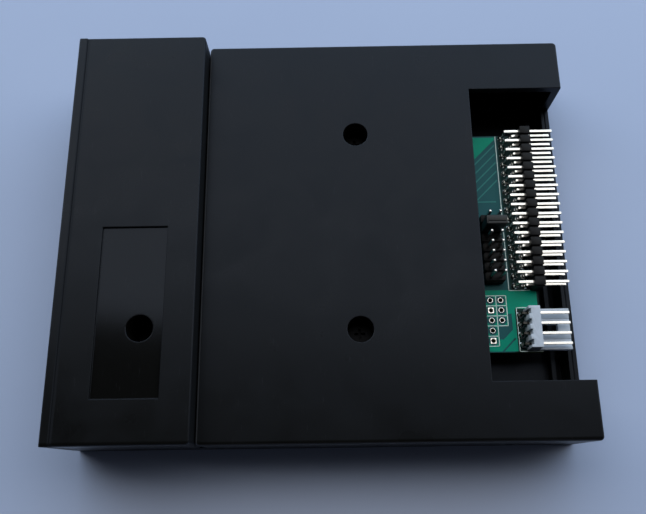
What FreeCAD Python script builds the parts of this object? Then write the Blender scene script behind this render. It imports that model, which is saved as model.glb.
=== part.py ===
import FreeCAD, Part
import os
import re
import Sketcher
from FreeCAD import Rotation, Vector

# Floppy drive emulator in the housing of a 3.5 inch drive, in millimetres.
# X runs across the drive, Y from the front panel to the rear connectors, Z up from the base.
# The origin is the middle of the base, under the middle of the overall length.

doc = FreeCAD.newDocument("floppy_drive_emulator")
sheet = doc.addObject("Spreadsheet::Sheet", "dims")

DRIVING_DIMENSIONS = {
    # housing
    "case_width": 101.6,
    "case_length": 123.4,
    "front_height": 25.4,
    "body_height": 20.3,
    "case_split": 10.0,
    "wall": 2.0,
    "panel_thickness": 2.3,
    "hood_end": 32.5,
    "cover_start": 32.8,
    "notch_start": 99.6,
    "notch_half": 37.4,
    "rear_wall_top": 8.7,
    "top_round": 0.4,
    "corner_round": 1.0,
    "panel_round": 0.4,
    "seam_round": 0.35,
    "lip_width": 0.9,
    "lip_depth": 1.4,
    "small_gap": 0.1,
    "wall_gap": 0.3,
    "overrun": 1.0,
    # label recess in the hood
    "recess_left": 0.8,
    "recess_width": 40.0,
    "recess_start": 10.1,
    "recess_length": 15.3,
    "recess_depth": 0.6,
    # screws, their wells and bosses
    "screw_x": 25.0,
    "front_screw": 20.05,
    "rear_screw": 70.2,
    "well_radius": 3.1,
    "well_wall": 1.2,
    "boss_radius": 3.2,
    "pilot_radius": 1.25,
    "pilot_depth": 7.0,
    "screw_hole_radius": 1.6,
    "shank_radius": 1.2,
    "shank_length": 9.0,
    "head_radius": 2.65,
    "head_height": 2.0,
    "drive_radius": 1.3,
    "drive_depth": 1.1,
    "peg_radius": 1.4,
    "peg_rise": 2.4,
    # threaded mounting bosses of the tray
    "mount_front": 36.0,
    "mount_pitch": 70.0,
    "mount_boss_radius": 3.0,
    "side_mount_z": 5.0,
    "side_mount_depth": 5.3,
    "side_boss_length": 5.8,
    "base_mount_x": 41.0,
    "base_mount_depth": 6.5,
    "base_boss_top": 8.0,
    "rib_start": 118.3,
    "rib_thickness": 1.2,
    "rib_rise": 2.5,
    "post_radius": 2.0,
    "post_y": 105.0,
    # hooks of the front panel and the ridges that hold them
    "hook_thickness": 1.1,
    "hook_width": 6.0,
    "hook_length": 8.3,
    "hook_barb": 0.8,
    "ridge_start": 7.8,
    "ridge_depth": 0.8,
    "ridge_length": 1.0,
    "ridge_drop": 0.5,
    "hood_lip_start": 11.8,
    # circuit board
    "board_left": -28.6,
    "board_width": 57.95,
    "board_start": 3.2,
    "board_end": 114.85,
    "board_under": 9.5,
    "board_thickness": 1.6,
    "relief_half": 31.0,
    "relief_top": 13.0,
    # pin headers
    "pitch": 2.54,
    "pin_side": 0.64,
    "pin_hole": 0.5,
    "pin_fit": 0.02,
    "pin_tail": 8.0,
    "pin_point": 0.16,
    "notch_cut": 0.42,
    # data header
    "data_columns": 17,
    "data_first_x": -27.84,
    "data_body_start": 112.95,
    "data_tip": 121.6,
    "data_upper_bend": 108.95,
    # jumper block and its cap
    "jumper_rows": 7,
    "jumper_first_x": -4.32,
    "jumper_column": 102.84,
    "jumper_tip": 19.2,
    "cap_row": 1,
    "cap_width": 2.2,
    "cap_length": 5.0,
    "cap_bottom": 13.8,
    "cap_top": 19.9,
    "cap_skin": 0.5,
    "cap_slot_half": 0.68,
    "cap_slot_length": 4.1,
    "contact_gap": 0.05,
    "contact_thickness": 0.2,
    "contact_height": 4.6,
    "contact_bridge": 1.0,
    # bare solder pads beside the jumper block
    "pad_first_x": 16.36,
    "pad_pairs": 3,
    "pad_rows": 5,
    # power header
    "power_pitch": 2.5,
    "power_pins": 4,
    "power_first_x": 20.22,
    "power_left": 18.9,
    "power_width": 10.1,
    "power_back": 110.9,
    "power_face": 113.75,
    "power_top": 16.6,
    "tongue_end": 121.5,
    "tongue_top": 11.9,
    "tongue_bottom": 10.4,
    "tongue_step": 115.1,
    "power_level": 13.5,
    "power_tip": 121.2,
    "power_bend": 109.5,
    "window_start": 114.5,
    "window_length": 3.9,
    "window_left": 22.85,
    "window_width": 1.5,
    "rail_width": 0.8,
    "rail_rise": 0.35,
    # display, its window and leads
    "display_x": -16.7,
    "display_width": 22.4,
    "display_start": 3.0,
    "display_depth": 6.0,
    "display_bottom": 11.6,
    "display_height": 10.0,
    "digits": 3,
    "digit_pitch": 7.2,
    "segment_length": 3.0,
    "segment_width": 0.7,
    "segment_depth": 0.2,
    "segment_step": 1.955,
    "window_plate_width": 25.2,
    "window_plate_height": 12.6,
    "window_plate_depth": 1.2,
    "view_width": 23.0,
    "view_height": 10.6,
    "lead_side": 0.5,
    "lead_columns": 6,
    "lead_lower_level": 12.8,
    "lead_upper_level": 20.4,
    "lead_lower_bend": 10.2,
    "lead_upper_bend": 12.9,
    # push buttons and their switches
    "up_button_x": -0.7,
    "down_button_x": 6.3,
    "button_level": 14.6,
    "button_radius": 1.75,
    "button_proud": 0.8,
    "button_collar_radius": 2.2,
    "button_collar_start": 4.15,
    "button_collar_length": 0.6,
    "button_plunger_radius": 1.2,
    "button_end": 5.6,
    "button_terminals": 2,
    "button_round": 0.35,
    "button_clear": 0.25,
    "switch_width": 6.0,
    "switch_start": 3.4,
    "switch_depth": 3.8,
    "switch_top": 17.7,
    "cavity_radius": 2.6,
    "cavity_start": 4.0,
    "cavity_depth": 2.6,
    "dome_start": 6.05,
    "dome_depth": 0.35,
    "dome_rim": 2.4,
    "dome_top": 1.3,
    "bracket_thickness": 0.25,
    "bracket_leg": 1.6,
    "terminal_offset": 2.25,
    "terminal_level": 12.4,
    "terminal_bend": 8.2,
    # status lamp
    "lamp_x": 12.0,
    "lamp_radius": 1.5,
    "lamp_proud": 0.4,
    "lamp_round": 1.35,
    "lamp_flange_radius": 1.9,
    "lamp_flange_start": 4.6,
    "lamp_flange_length": 1.0,
    "lamp_block_start": 2.6,
    "lamp_block_end": 7.0,
    "lamp_block_half": 2.15,
    "lamp_block_top": 17.0,
    "lamp_clear": 0.05,
    "lamp_lead_offset": 0.9,
    "lamp_lead_bend": 8.4,
    "lamp_terminals": 2,
    # socket for the memory stick
    "usb_x": 21.3,
    "usb_width": 13.1,
    "usb_bottom": 11.7,
    "usb_height": 5.72,
    "usb_start": 0.2,
    "usb_length": 14.0,
    "usb_skin": 0.3,
    "usb_panel_gap": 0.25,
    "usb_leg_y": 9.0,
    "usb_leg_width": 1.6,
    "usb_slot_start": 11.7,
    "usb_slot_length": 1.6,
    "usb_tongue_width": 11.1,
    "usb_tongue_bottom": 14.85,
    "usb_tongue_height": 1.84,
    "usb_tongue_start": 1.9,
    "usb_contact_width": 1.0,
    "usb_contact_thickness": 0.2,
    "usb_contact_start": 3.2,
    "usb_inner_contact": 1.0,
    "usb_outer_contact": 3.5,
    # parts soldered to the board
    "chip_x": -1.0,
    "chip_y": 58.0,
    "chip_side": 10.0,
    "chip_height": 1.4,
    "chip_stand": 0.1,
    "chip_mark_offset": 3.8,
    "chip_mark_radius": 0.5,
    "chip_leads": 16,
    "chip_lead_pitch": 0.5,
    "chip_lead_width": 0.22,
    "chip_lead_knee": 0.4,
    "chip_lead_reach": 1.0,
    "chip_lead_thickness": 0.15,
    "crystal_x": -15.5,
    "crystal_y": 52.0,
    "crystal_width": 4.7,
    "crystal_length": 11.4,
    "crystal_height": 3.5,
    "crystal_flange": 0.4,
    "regulator_x": 17.0,
    "regulator_y": 88.0,
    "regulator_width": 6.5,
    "regulator_length": 3.5,
    "regulator_height": 1.6,
    "regulator_pins": 3,
    "regulator_lead": 0.7,
    "regulator_lead_length": 1.6,
    "regulator_tab": 3.0,
    "regulator_pitch": 2.3,
    "cans": 2,
    "can_radius": 3.15,
    "can_height": 5.4,
    "can_base_side": 6.6,
    "can_base_height": 1.0,
    "can_cut": 1.1,
    "can_x": 10.0,
    "can_front_y": 72.0,
    "can_pitch": 12.0,
    "chip_cap_length": 2.0,
    "chip_cap_width": 1.25,
    "chip_cap_height": 0.85,
    "resistor_length": 1.6,
    "resistor_width": 0.8,
    "resistor_height": 0.45,
    "resistor_x": -22.0,
    "resistor_y": 80.0,
    "resistor_pitch": 3.2,
    "resistor_row_pitch": 4.0,
    "resistor_columns": 6,
    "resistor_rows": 2,
    # places of the chip capacitors, one letter for each
    "capacitor_a_x": -9.0,
    "capacitor_a_y": 66.5,
    "capacitor_b_x": -4.5,
    "capacitor_b_y": 66.5,
    "capacitor_c_x": 0.0,
    "capacitor_c_y": 66.5,
    "capacitor_d_x": -9.5,
    "capacitor_d_y": 47.0,
    "capacitor_e_x": 4.5,
    "capacitor_e_y": 47.0,
    "capacitor_f_x": 8.5,
    "capacitor_f_y": 56.0,
    "capacitor_g_x": -20.5,
    "capacitor_g_y": 47.0,
    "capacitor_h_x": -20.5,
    "capacitor_h_y": 57.0,
    "capacitor_i_x": 11.0,
    "capacitor_i_y": 90.0,
    "capacitor_j_x": 22.5,
    "capacitor_j_y": 90.0,
}

# An edge or face this close to a level is taken as lying on it.
TOUCH = 0.01


def fill_sheet():
    """One row per driving dimension: its name in column A and its value, with an alias, in B."""
    for row, (alias, size) in enumerate(DRIVING_DIMENSIONS.items(), start=1):
        sheet.set("A%d" % row, alias)
        sheet.set("B%d" % row, str(size))
        sheet.setAlias("B%d" % row, alias)
    last = len(DRIVING_DIMENSIONS)
    derived = {
        "half_width": "=case_width / 2",
        "front_y": "=-(case_length - button_proud) / 2",
        "rear_y": "=front_y + case_length",
        "shell_front": "=front_y + panel_thickness",
        "board_top": "=board_under + board_thickness",
        "data_lower_bend": "=data_upper_bend + pitch",
        "data_lower_level": "=board_top + pitch / 2",
        "data_upper_level": "=data_lower_level + pitch",
        "jumper_top": "=board_top + pitch",
    }
    for row, (alias, formula) in enumerate(derived.items(), start=last + 1):
        sheet.set("A%d" % row, alias)
        sheet.set("B%d" % row, formula)
        sheet.setAlias("B%d" % row, alias)
    doc.recompute()


def bound(formula):
    """The formula with each name pointed at its cell of the sheet."""
    return re.sub(r"[a-z][a-z_]*", lambda name: "dims." + name.group(0), formula)


def value(formula):
    """What the formula comes to now, in millimetres."""
    return float(sheet.evalExpression(bound(formula)))


def count(alias):
    """A whole number kept in the sheet."""
    return int(round(value(alias)))


def bind(thing, prop, formula):
    thing.setExpression(prop, bound(formula))


def place(thing, x, y, z):
    """Bind the place of an object's own origin."""
    bind(thing, "Placement.Base.x", x)
    bind(thing, "Placement.Base.y", y)
    bind(thing, "Placement.Base.z", z)


def block(name, low, size):
    """A box from its low corner and its size, as formulas."""
    box = doc.addObject("Part::Box", name)
    for prop, formula in zip(("Length", "Width", "Height"), size):
        bind(box, prop, formula)
    place(box, *low)
    return box


TURNS = {
    "x": Rotation(Vector(0, 1, 0), 90),
    "y": Rotation(Vector(1, 0, 0), -90),
    "z": Rotation(),
}


def rod(name, axis, low, radius, length):
    """A cylinder along one axis from the middle of its low end."""
    cylinder = doc.addObject("Part::Cylinder", name)
    cylinder.Placement.Rotation = TURNS[axis]
    bind(cylinder, "Radius", radius)
    bind(cylinder, "Height", length)
    place(cylinder, *low)
    return cylinder


def join(name, pieces):
    fused = doc.addObject("Part::MultiFuse", name)
    fused.Shapes = pieces
    fused.Refine = True
    return fused


def cut(name, base, tools):
    tool = tools[0]
    if len(tools) > 1:
        tool = join(name + "_tools", tools)
    made = doc.addObject("Part::Cut", name)
    made.Base = base
    made.Tool = tool
    return made


def group(name, pieces):
    """Separate solids of one kind kept together as one node."""
    compound = doc.addObject("Part::Compound", name)
    compound.Links = pieces
    return compound


def new_body(name):
    body = doc.addObject("PartDesign::Body", name)
    body.AllowCompound = True
    return body


def origin_feature(body, role):
    return [item for item in body.Origin.OriginFeatures if item.Role == role][0]


def new_sketch(body, name, plane, offset):
    sketch = body.newObject("Sketcher::SketchObject", name)
    sketch.AttachmentSupport = (origin_feature(body, plane), [""])
    sketch.MapMode = "FlatFace"
    bind(sketch, "AttachmentOffset.Base.z", offset)
    return sketch


def tie(sketch, kind, geometry, point, formula):
    """A sketch dimension that follows the sheet."""
    where = (geometry,) if point is None else (geometry, point)
    number = sketch.addConstraint(Sketcher.Constraint(kind, *where, value(formula)))
    bind(sketch, "Constraints[%d]" % number, formula)


def draw(sketch, corners):
    """A closed outline through the corners, each a pair of formulas."""
    first = sketch.GeometryCount
    points = [Vector(value(across), value(along), 0) for across, along in corners]
    following = list(range(1, len(points))) + [0]
    for point, after in zip(points, following):
        sketch.addGeometry(Part.LineSegment(point, points[after]), False)
    for number, after in enumerate(following):
        end, start = first + number, first + after
        sketch.addConstraint(Sketcher.Constraint("Coincident", end, 2, start, 1))
    for number, (across, along) in enumerate(corners):
        tie(sketch, "DistanceX", first + number, 1, across)
        tie(sketch, "DistanceY", first + number, 1, along)


def draw_rectangle(sketch, left, right, near, far):
    draw(sketch, ((left, near), (right, near), (right, far), (left, far)))


def draw_circle(sketch, across, along, radius):
    middle = Vector(value(across), value(along), 0)
    number = sketch.addGeometry(Part.Circle(middle, Vector(0, 0, 1), value(radius)), False)
    tie(sketch, "DistanceX", number, 3, across)
    tie(sketch, "DistanceY", number, 3, along)
    tie(sketch, "Radius", number, None, radius)


def pad(body, sketch, length, reverse=False, middle=False):
    """Grow the sketch into the body, along its normal unless reversed."""
    before = body.Shape.Volume if body.Tip else 0.0
    feature = body.newObject("PartDesign::Pad", sketch.Name + "_pad")
    feature.Profile = sketch
    feature.Reversed = reverse
    feature.Midplane = middle
    bind(feature, "Length", length)
    doc.recompute()
    if body.Shape.Volume <= before:
        raise ValueError("pad adds nothing: " + feature.Name)
    return feature


def pocket(body, sketch, depth, reverse=False):
    """Cut the sketch out of the body, against its normal unless reversed."""
    before = body.Shape.Volume
    feature = body.newObject("PartDesign::Pocket", sketch.Name + "_pocket")
    feature.Profile = sketch
    feature.Reversed = reverse
    bind(feature, "Length", depth)
    doc.recompute()
    if body.Shape.Volume >= before:
        raise ValueError("pocket cuts nothing: " + feature.Name)
    return feature


def repeat(body, name, originals, spacing, number, axis="X_Axis"):
    """Copies of features in a row, counted from the sheet."""
    pattern = body.newObject("PartDesign::LinearPattern", name)
    pattern.Originals = originals
    pattern.Direction = (origin_feature(body, axis), [""])
    bind(pattern, "Length", "%s * (%s - 1)" % (spacing, number))
    bind(pattern, "Occurrences", number)
    body.Tip = pattern
    doc.recompute()
    return pattern


def round_edges(body, name, radius, wanted):
    """Round the edges of the body's last feature that the test picks."""
    last = body.Tip
    names = []
    for number, edge in enumerate(last.Shape.Edges, start=1):
        if wanted(edge):
            names.append("Edge%d" % number)
    fillet = body.newObject("PartDesign::Fillet", name)
    fillet.Base = (last, names)
    bind(fillet, "Radius", radius)
    doc.recompute()
    return fillet


def upright_at_rear(edge):
    """An upright edge at one of the two outer rear corners of the housing."""
    box = edge.BoundBox
    upright = box.XLength < TOUCH and box.YLength < TOUCH
    outer = abs(abs(box.Center.x) - value("half_width")) < TOUCH
    return upright and outer and box.Center.y > value("shell_front") + TOUCH


def shell_base(body, name, start, end, low, high):
    """The outside of a housing shell as one block with round rear corners."""
    outside = new_sketch(body, name + "_outside", "XY_Plane", low)
    draw_rectangle(outside, "-half_width", "half_width", start, end)
    pad(body, outside, "%s - (%s)" % (high, low))
    round_edges(body, name + "_corners", "corner_round", upright_at_rear)


def round_top(body, name, top):
    """Round the outer top edge, except along the front."""
    def on_top(edge):
        box = edge.BoundBox
        flat = box.ZLength < TOUCH and abs(box.Center.z - value(top)) < TOUCH
        along_front = box.YLength < TOUCH and box.Center.y < value("shell_front") + TOUCH
        return flat and not along_front
    round_edges(body, name + "_top_round", "top_round", on_top)


def well(body, name, spots, top):
    """Screw wells: tubes that press on the board, sunk from the top, with a clearance hole."""
    tubes = new_sketch(body, name + "_well_tubes", "XY_Plane", "board_top")
    for across, along in spots:
        draw_circle(tubes, across, along, "well_radius + well_wall")
    pad(body, tubes, "%s - board_top - wall / 2" % top)
    bores = new_sketch(body, name + "_well_bores", "XY_Plane", top)
    for across, along in spots:
        draw_circle(bores, across, along, "well_radius")
    pocket(body, bores, "%s - board_top - well_wall" % top)
    holes = new_sketch(body, name + "_screw_holes", "XY_Plane", top)
    for across, along in spots:
        draw_circle(holes, across, along, "screw_hole_radius")
    pocket(body, holes, "%s - board_top + overrun" % top)


def side_lips(body, name, start, end):
    """Tongues under the side walls that drop inside the tray's rim."""
    lips = new_sketch(body, name + "_lips", "XY_Plane", "case_split")
    inner = "half_width - wall"
    outer = "half_width - wall + lip_width"
    draw_rectangle(lips, inner, outer, start, end)
    draw_rectangle(lips, "-(%s)" % outer, "-(%s)" % inner, start, end)
    pad(body, lips, "lip_depth", reverse=True)


def board_relief(body, name, low_y, high_y):
    """A cut under a cross wall, where the circuit board passes."""
    relief = new_sketch(body, name + "_board_relief", "XY_Plane", "case_split")
    draw_rectangle(relief, "-relief_half", "relief_half", low_y, high_y)
    pocket(body, relief, "relief_top - case_split", reverse=True)


def bottom_tray():
    """Lower half of the case: floor, low walls, board bosses and threaded mounting bosses."""
    body = new_body("bottom_tray")
    shell_base(body, "tray", "shell_front", "rear_y", "0", "case_split")
    inside = new_sketch(body, "tray_inside", "XY_Plane", "case_split")
    draw_rectangle(inside, "-(half_width - wall)", "half_width - wall",
                   "shell_front - overrun", "rear_y - wall")
    pocket(body, inside, "case_split - wall")
    rim = new_sketch(body, "tray_rim", "XY_Plane", "case_split")
    seat = "half_width - wall + lip_width + small_gap"
    draw_rectangle(rim, "-(%s)" % seat, seat,
                   "shell_front - overrun", "rear_y - wall + lip_width + small_gap")
    pocket(body, rim, "lip_depth + small_gap")
    opening = new_sketch(body, "tray_rear_opening", "XY_Plane", "case_split")
    draw_rectangle(opening, "-notch_half", "notch_half",
                   "rear_y - wall - overrun", "rear_y + overrun")
    pocket(body, opening, "case_split - rear_wall_top")

    bosses = new_sketch(body, "tray_board_bosses", "XY_Plane", "wall / 2")
    for across, along in screw_spots() + [("-screw_x", "front_y + front_screw")]:
        draw_circle(bosses, across, along, "boss_radius")
    for side in ("-", ""):
        draw_circle(bosses, side + "screw_x", "front_y + post_y", "post_radius")
    pad(body, bosses, "board_under - wall / 2")
    pilots = new_sketch(body, "tray_pilot_holes", "XY_Plane", "board_under")
    for across, along in screw_spots():
        draw_circle(pilots, across, along, "pilot_radius")
    pocket(body, pilots, "pilot_depth")
    peg = new_sketch(body, "tray_locating_peg", "XY_Plane", "board_under")
    draw_circle(peg, "-screw_x", "front_y + front_screw", "peg_radius")
    pad(body, peg, "peg_rise")

    rib = new_sketch(body, "tray_rear_rib", "XY_Plane", "wall / 2")
    near = "front_y + rib_start"
    draw_rectangle(rib, "-(half_width - wall / 2)", "half_width - wall / 2",
                   near, near + " + rib_thickness")
    pad(body, rib, "wall / 2 + rib_rise")
    ridges = new_sketch(body, "tray_hook_ridges", "XY_Plane", "wall / 2")
    near = "front_y + ridge_start"
    for side in ("-", ""):
        draw_rectangle(ridges, side + "(half_width - wall / 2)",
                       side + "(half_width - wall - ridge_depth)", near, near + " + ridge_length")
    pad(body, ridges, "case_split - lip_depth - ridge_drop - wall / 2")

    for side, sign in (("left", "-"), ("right", "")):
        boss = new_sketch(body, "tray_%s_mount_bosses" % side, "YZ_Plane",
                          sign + "(half_width - wall / 2)")
        for step in ("0", "mount_pitch"):
            draw_circle(boss, "front_y + mount_front + " + step, "side_mount_z", "mount_boss_radius")
        pad(body, boss, "side_boss_length - wall / 2", reverse=(sign == ""))
        hole = new_sketch(body, "tray_%s_mount_holes" % side, "YZ_Plane", sign + "half_width")
        for step in ("0", "mount_pitch"):
            draw_circle(hole, "front_y + mount_front + " + step, "side_mount_z", "pilot_radius")
        pocket(body, hole, "side_mount_depth", reverse=(sign == "-"))
    spots = [(sign + "base_mount_x", "front_y + mount_front + " + step)
             for sign in ("-", "") for step in ("0", "mount_pitch")]
    stands = new_sketch(body, "tray_base_mount_bosses", "XY_Plane", "wall / 2")
    for across, along in spots:
        draw_circle(stands, across, along, "mount_boss_radius")
    pad(body, stands, "base_boss_top - wall / 2")
    threads = new_sketch(body, "tray_base_mount_holes", "XY_Plane", "0")
    for across, along in spots:
        draw_circle(threads, across, along, "pilot_radius")
    pocket(body, threads, "base_mount_depth", reverse=True)
    return body


def screw_spots():
    """Where the three case screws stand."""
    return [("-screw_x", "front_y + rear_screw"),
            ("screw_x", "front_y + rear_screw"),
            ("screw_x", "front_y + front_screw")]


def top_cover():
    """Upper half of the case behind the hood, open over the rear connectors."""
    body = new_body("top_cover")
    start = "front_y + cover_start"
    shell_base(body, "cover", start, "rear_y", "case_split", "body_height")
    round_top(body, "cover", "body_height")
    inside = new_sketch(body, "cover_inside", "XY_Plane", "case_split")
    draw_rectangle(inside, "-(half_width - wall)", "half_width - wall",
                   start + " + wall", "rear_y - wall")
    pocket(body, inside, "body_height - case_split - wall", reverse=True)
    notch = new_sketch(body, "cover_rear_notch", "XY_Plane", "body_height + overrun")
    draw_rectangle(notch, "-notch_half", "notch_half", "front_y + notch_start", "rear_y + overrun")
    pocket(body, notch, "body_height - case_split + overrun * 2")
    board_relief(body, "cover", start + " - overrun", start + " + wall + overrun")
    well(body, "cover", screw_spots()[:2], "body_height")
    side_lips(body, "cover", start + " + wall", "rear_y - wall")
    return body


def front_hood():
    """Raised front section of the case with the shallow label recess and one screw well."""
    body = new_body("front_hood")
    end = "front_y + hood_end"
    shell_base(body, "hood", "shell_front", end, "case_split", "front_height")
    round_top(body, "hood", "front_height")
    inside = new_sketch(body, "hood_inside", "XY_Plane", "case_split")
    draw_rectangle(inside, "-(half_width - wall)", "half_width - wall",
                   "shell_front - overrun", end + " - wall")
    pocket(body, inside, "front_height - case_split - wall", reverse=True)
    board_relief(body, "hood", end + " - wall - overrun", end + " + overrun")
    label = new_sketch(body, "hood_label_recess", "XY_Plane", "front_height")
    near = "front_y + recess_start"
    draw_rectangle(label, "recess_left", "recess_left + recess_width", near, near + " + recess_length")
    pocket(body, label, "recess_depth")
    well(body, "hood", screw_spots()[2:], "front_height")
    side_lips(body, "hood", "front_y + hood_lip_start", end + " - wall")
    return body


def front_panel():
    """Flat face plate with the display window, two button holes, the lamp hole and the socket."""
    body = new_body("front_panel")
    plate = new_sketch(body, "panel_plate", "XZ_Plane", "-front_y")
    draw_rectangle(plate, "-half_width", "half_width", "0", "front_height")
    pad(body, plate, "panel_thickness", reverse=True)

    def on_face(edge):
        box = edge.BoundBox
        return box.YLength < TOUCH and abs(box.Center.y - value("front_y")) < TOUCH
    round_edges(body, "panel_face_round", "panel_round", on_face)

    def at_seam(edge):
        box = edge.BoundBox
        return box.YLength < TOUCH and abs(box.Center.y - value("shell_front")) < TOUCH
    round_edges(body, "panel_seam_round", "seam_round", at_seam)

    middle = "display_bottom + display_height / 2"
    seat = new_sketch(body, "panel_window_seat", "XZ_Plane", "-front_y")
    half_width = "(window_plate_width / 2 + small_gap)"
    half_height = "(window_plate_height / 2 + small_gap)"
    draw_rectangle(seat, "display_x - " + half_width, "display_x + " + half_width,
                   middle + " - " + half_height, middle + " + " + half_height)
    pocket(body, seat, "window_plate_depth")
    openings = new_sketch(body, "panel_openings", "XZ_Plane", "-front_y")
    draw_rectangle(openings, "display_x - view_width / 2", "display_x + view_width / 2",
                   middle + " - view_height / 2", middle + " + view_height / 2")
    socket_half = "(usb_width / 2 + usb_panel_gap)"
    draw_rectangle(openings, "usb_x - " + socket_half, "usb_x + " + socket_half,
                   "usb_bottom - usb_panel_gap", "usb_bottom + usb_height + usb_panel_gap")
    for button in ("up_button_x", "down_button_x"):
        draw_circle(openings, button, "button_level", "button_radius + button_clear")
    draw_circle(openings, "lamp_x", "button_level", "lamp_radius + lamp_clear + small_gap")
    pocket(body, openings, "panel_thickness + overrun")

    hooks = new_sketch(body, "panel_hooks", "XY_Plane", "wall + wall_gap")
    arm = "half_width - wall - ridge_depth - wall_gap"
    tip = "shell_front + hook_length"
    barb = "front_y + ridge_start + ridge_length + wall_gap"
    for sign in ("-", ""):
        draw(hooks, (
            ("%s(%s - hook_thickness)" % (sign, arm), "shell_front - panel_thickness / 2"),
            ("%s(%s)" % (sign, arm), "shell_front - panel_thickness / 2"),
            ("%s(%s)" % (sign, arm), barb),
            ("%s(%s + hook_barb)" % (sign, arm), barb),
            ("%s(%s)" % (sign, arm), tip),
            ("%s(%s - hook_thickness)" % (sign, arm), tip),
        ))
    pad(body, hooks, "hook_width")
    return body


def screw(name, spot, floor):
    """A pan-head self-tapping screw standing on the floor of its well."""
    across, along = spot
    head = rod(name + "_head", "z", (across, along, floor), "head_radius", "head_height")
    shank = rod(name + "_shank", "z", (across, along, floor + " - shank_length"),
                "shank_radius", "shank_length + head_height / 2")
    blank = join(name + "_blank", [head, shank])
    slots = []
    for turned, sizes in (("long", ("drive_radius * 2", "drive_radius / 2")),
                          ("cross", ("drive_radius / 2", "drive_radius * 2"))):
        width, length = sizes
        low = ("%s - %s / 2" % (across, width), "%s - %s / 2" % (along, length),
               floor + " + head_height - drive_depth")
        slots.append(block(name + "_slot_" + turned, low, (width, length, "drive_depth + overrun")))
    return cut(name + "_solid", blank, slots)


def screws():
    spots = screw_spots()
    floor = "board_top + well_wall"
    pair = [screw("cover_screw_%d" % number, spot, floor) for number, spot in enumerate(spots[:2])]
    single = screw("hood_screw_single", spots[2], floor)
    return [group("cover_screws", pair), group("hood_screw", [single])]


def pin_row(body, name, across, along, spacing, number):
    """A row of round holes through the board for header pins."""
    hole = new_sketch(body, name, "XY_Plane", "board_top")
    for level in along:
        draw_circle(hole, across, level, "pin_hole")
    feature = pocket(body, hole, "board_thickness + overrun")
    repeat(body, name + "_row", [feature], spacing, number)


def circuit_board():
    """Fibreglass board with its screw holes, pin holes and the bare pads beside the jumpers."""
    body = new_body("circuit_board")
    half_pin = "pin_side / 2"
    half_lead = "lead_side / 2"
    base = new_sketch(body, "board_outline", "XY_Plane", "board_under")
    draw_rectangle(base, "board_left", "board_left + board_width",
                   "front_y + board_start", "front_y + board_end")
    pad(body, base, "board_thickness")
    fixings = new_sketch(body, "board_fixings", "XY_Plane", "board_top")
    for across, along in screw_spots() + [("-screw_x", "front_y + front_screw")]:
        draw_circle(fixings, across, along, "screw_hole_radius")
    pocket(body, fixings, "board_thickness + overrun")
    pin_row(body, "board_data_holes", "data_first_x",
            ("front_y + data_upper_bend + " + half_pin, "front_y + data_lower_bend + " + half_pin),
            "pitch", "data_columns")
    pin_row(body, "board_jumper_holes", "jumper_first_x",
            ("front_y + jumper_column", "front_y + jumper_column + pitch"), "pitch", "jumper_rows")
    pin_row(body, "board_power_holes", "power_first_x",
            ("front_y + power_bend + " + half_pin,), "power_pitch", "power_pins")
    pin_row(body, "board_pad_holes", "pad_first_x",
            ("front_y + jumper_column",), "pitch", "pad_rows")
    pin_row(body, "board_pad_pair_holes", "pad_first_x",
            ("front_y + jumper_column + pitch",), "pitch", "pad_pairs")
    pin_row(body, "board_display_holes", "display_x - pitch * (lead_columns - 1) / 2",
            ("front_y + lead_lower_bend + " + half_lead, "front_y + lead_upper_bend + " + half_lead),
            "pitch", "lead_columns")
    small = new_sketch(body, "board_small_holes", "XY_Plane", "board_top")
    for button in ("up_button_x", "down_button_x"):
        for sign in ("-", "+"):
            draw_circle(small, "%s %s terminal_offset" % (button, sign),
                        "front_y + terminal_bend + " + half_lead, "pin_hole")
    for sign in ("-", "+"):
        draw_circle(small, "lamp_x %s lamp_lead_offset" % sign,
                    "front_y + lamp_lead_bend + " + half_lead, "pin_hole")
        for contact in ("usb_inner_contact", "usb_outer_contact"):
            draw_circle(small, "usb_x %s %s" % (sign, contact),
                        "front_y + usb_slot_start + usb_slot_length / 2", "pin_hole + small_gap")
    pocket(body, small, "board_thickness + overrun")
    slots = new_sketch(body, "board_leg_slots", "XY_Plane", "board_top")
    leg = "front_y + usb_leg_y"
    for sign in ("-", "+"):
        outer = "usb_x %s (usb_width / 2 + small_gap)" % sign
        inner = "usb_x %s (usb_width / 2 - usb_skin - small_gap)" % sign
        draw_rectangle(slots, inner, outer, leg + " - usb_leg_width / 2 - small_gap",
                       leg + " + usb_leg_width / 2 + small_gap")
    pocket(body, slots, "board_thickness + overrun")
    return body


def bent_pins(name, first, spacing, number, side, tip, bend, level, tail):
    """A row of square right-angle pins: along Y to the tip, and down to the tail."""
    body = new_body(name)
    profile = new_sketch(body, name + "_profile", "YZ_Plane", first)
    half = side + " / 2"
    back = "front_y + " + bend
    draw(profile, (
        (back, tail),
        (back, "%s + %s" % (level, half)),
        ("front_y + " + tip, "%s + %s" % (level, half)),
        ("front_y + " + tip, "%s - %s" % (level, half)),
        ("%s + %s" % (back, side), "%s - %s" % (level, half)),
        ("%s + %s" % (back, side), tail),
    ))
    pad(body, profile, side, middle=True)

    def outer_corner(edge):
        box = edge.BoundBox
        across = box.YLength < TOUCH and box.ZLength < TOUCH
        at_back = abs(box.Center.y - value(back)) < TOUCH
        return across and at_back and box.Center.z > value(level)
    round_edges(body, name + "_bend", side, outer_corner)

    def at_tip(edge):
        box = edge.BoundBox
        return box.YLength < TOUCH and abs(box.Center.y - value("front_y + " + tip)) < TOUCH
    last = body.Tip
    names = ["Edge%d" % (index + 1) for index, edge in enumerate(last.Shape.Edges) if at_tip(edge)]
    point = body.newObject("PartDesign::Chamfer", name + "_point")
    point.Base = (last, names)
    bind(point, "Size", "pin_point")
    doc.recompute()
    copy_row(body, name, spacing, number)
    return body


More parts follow.
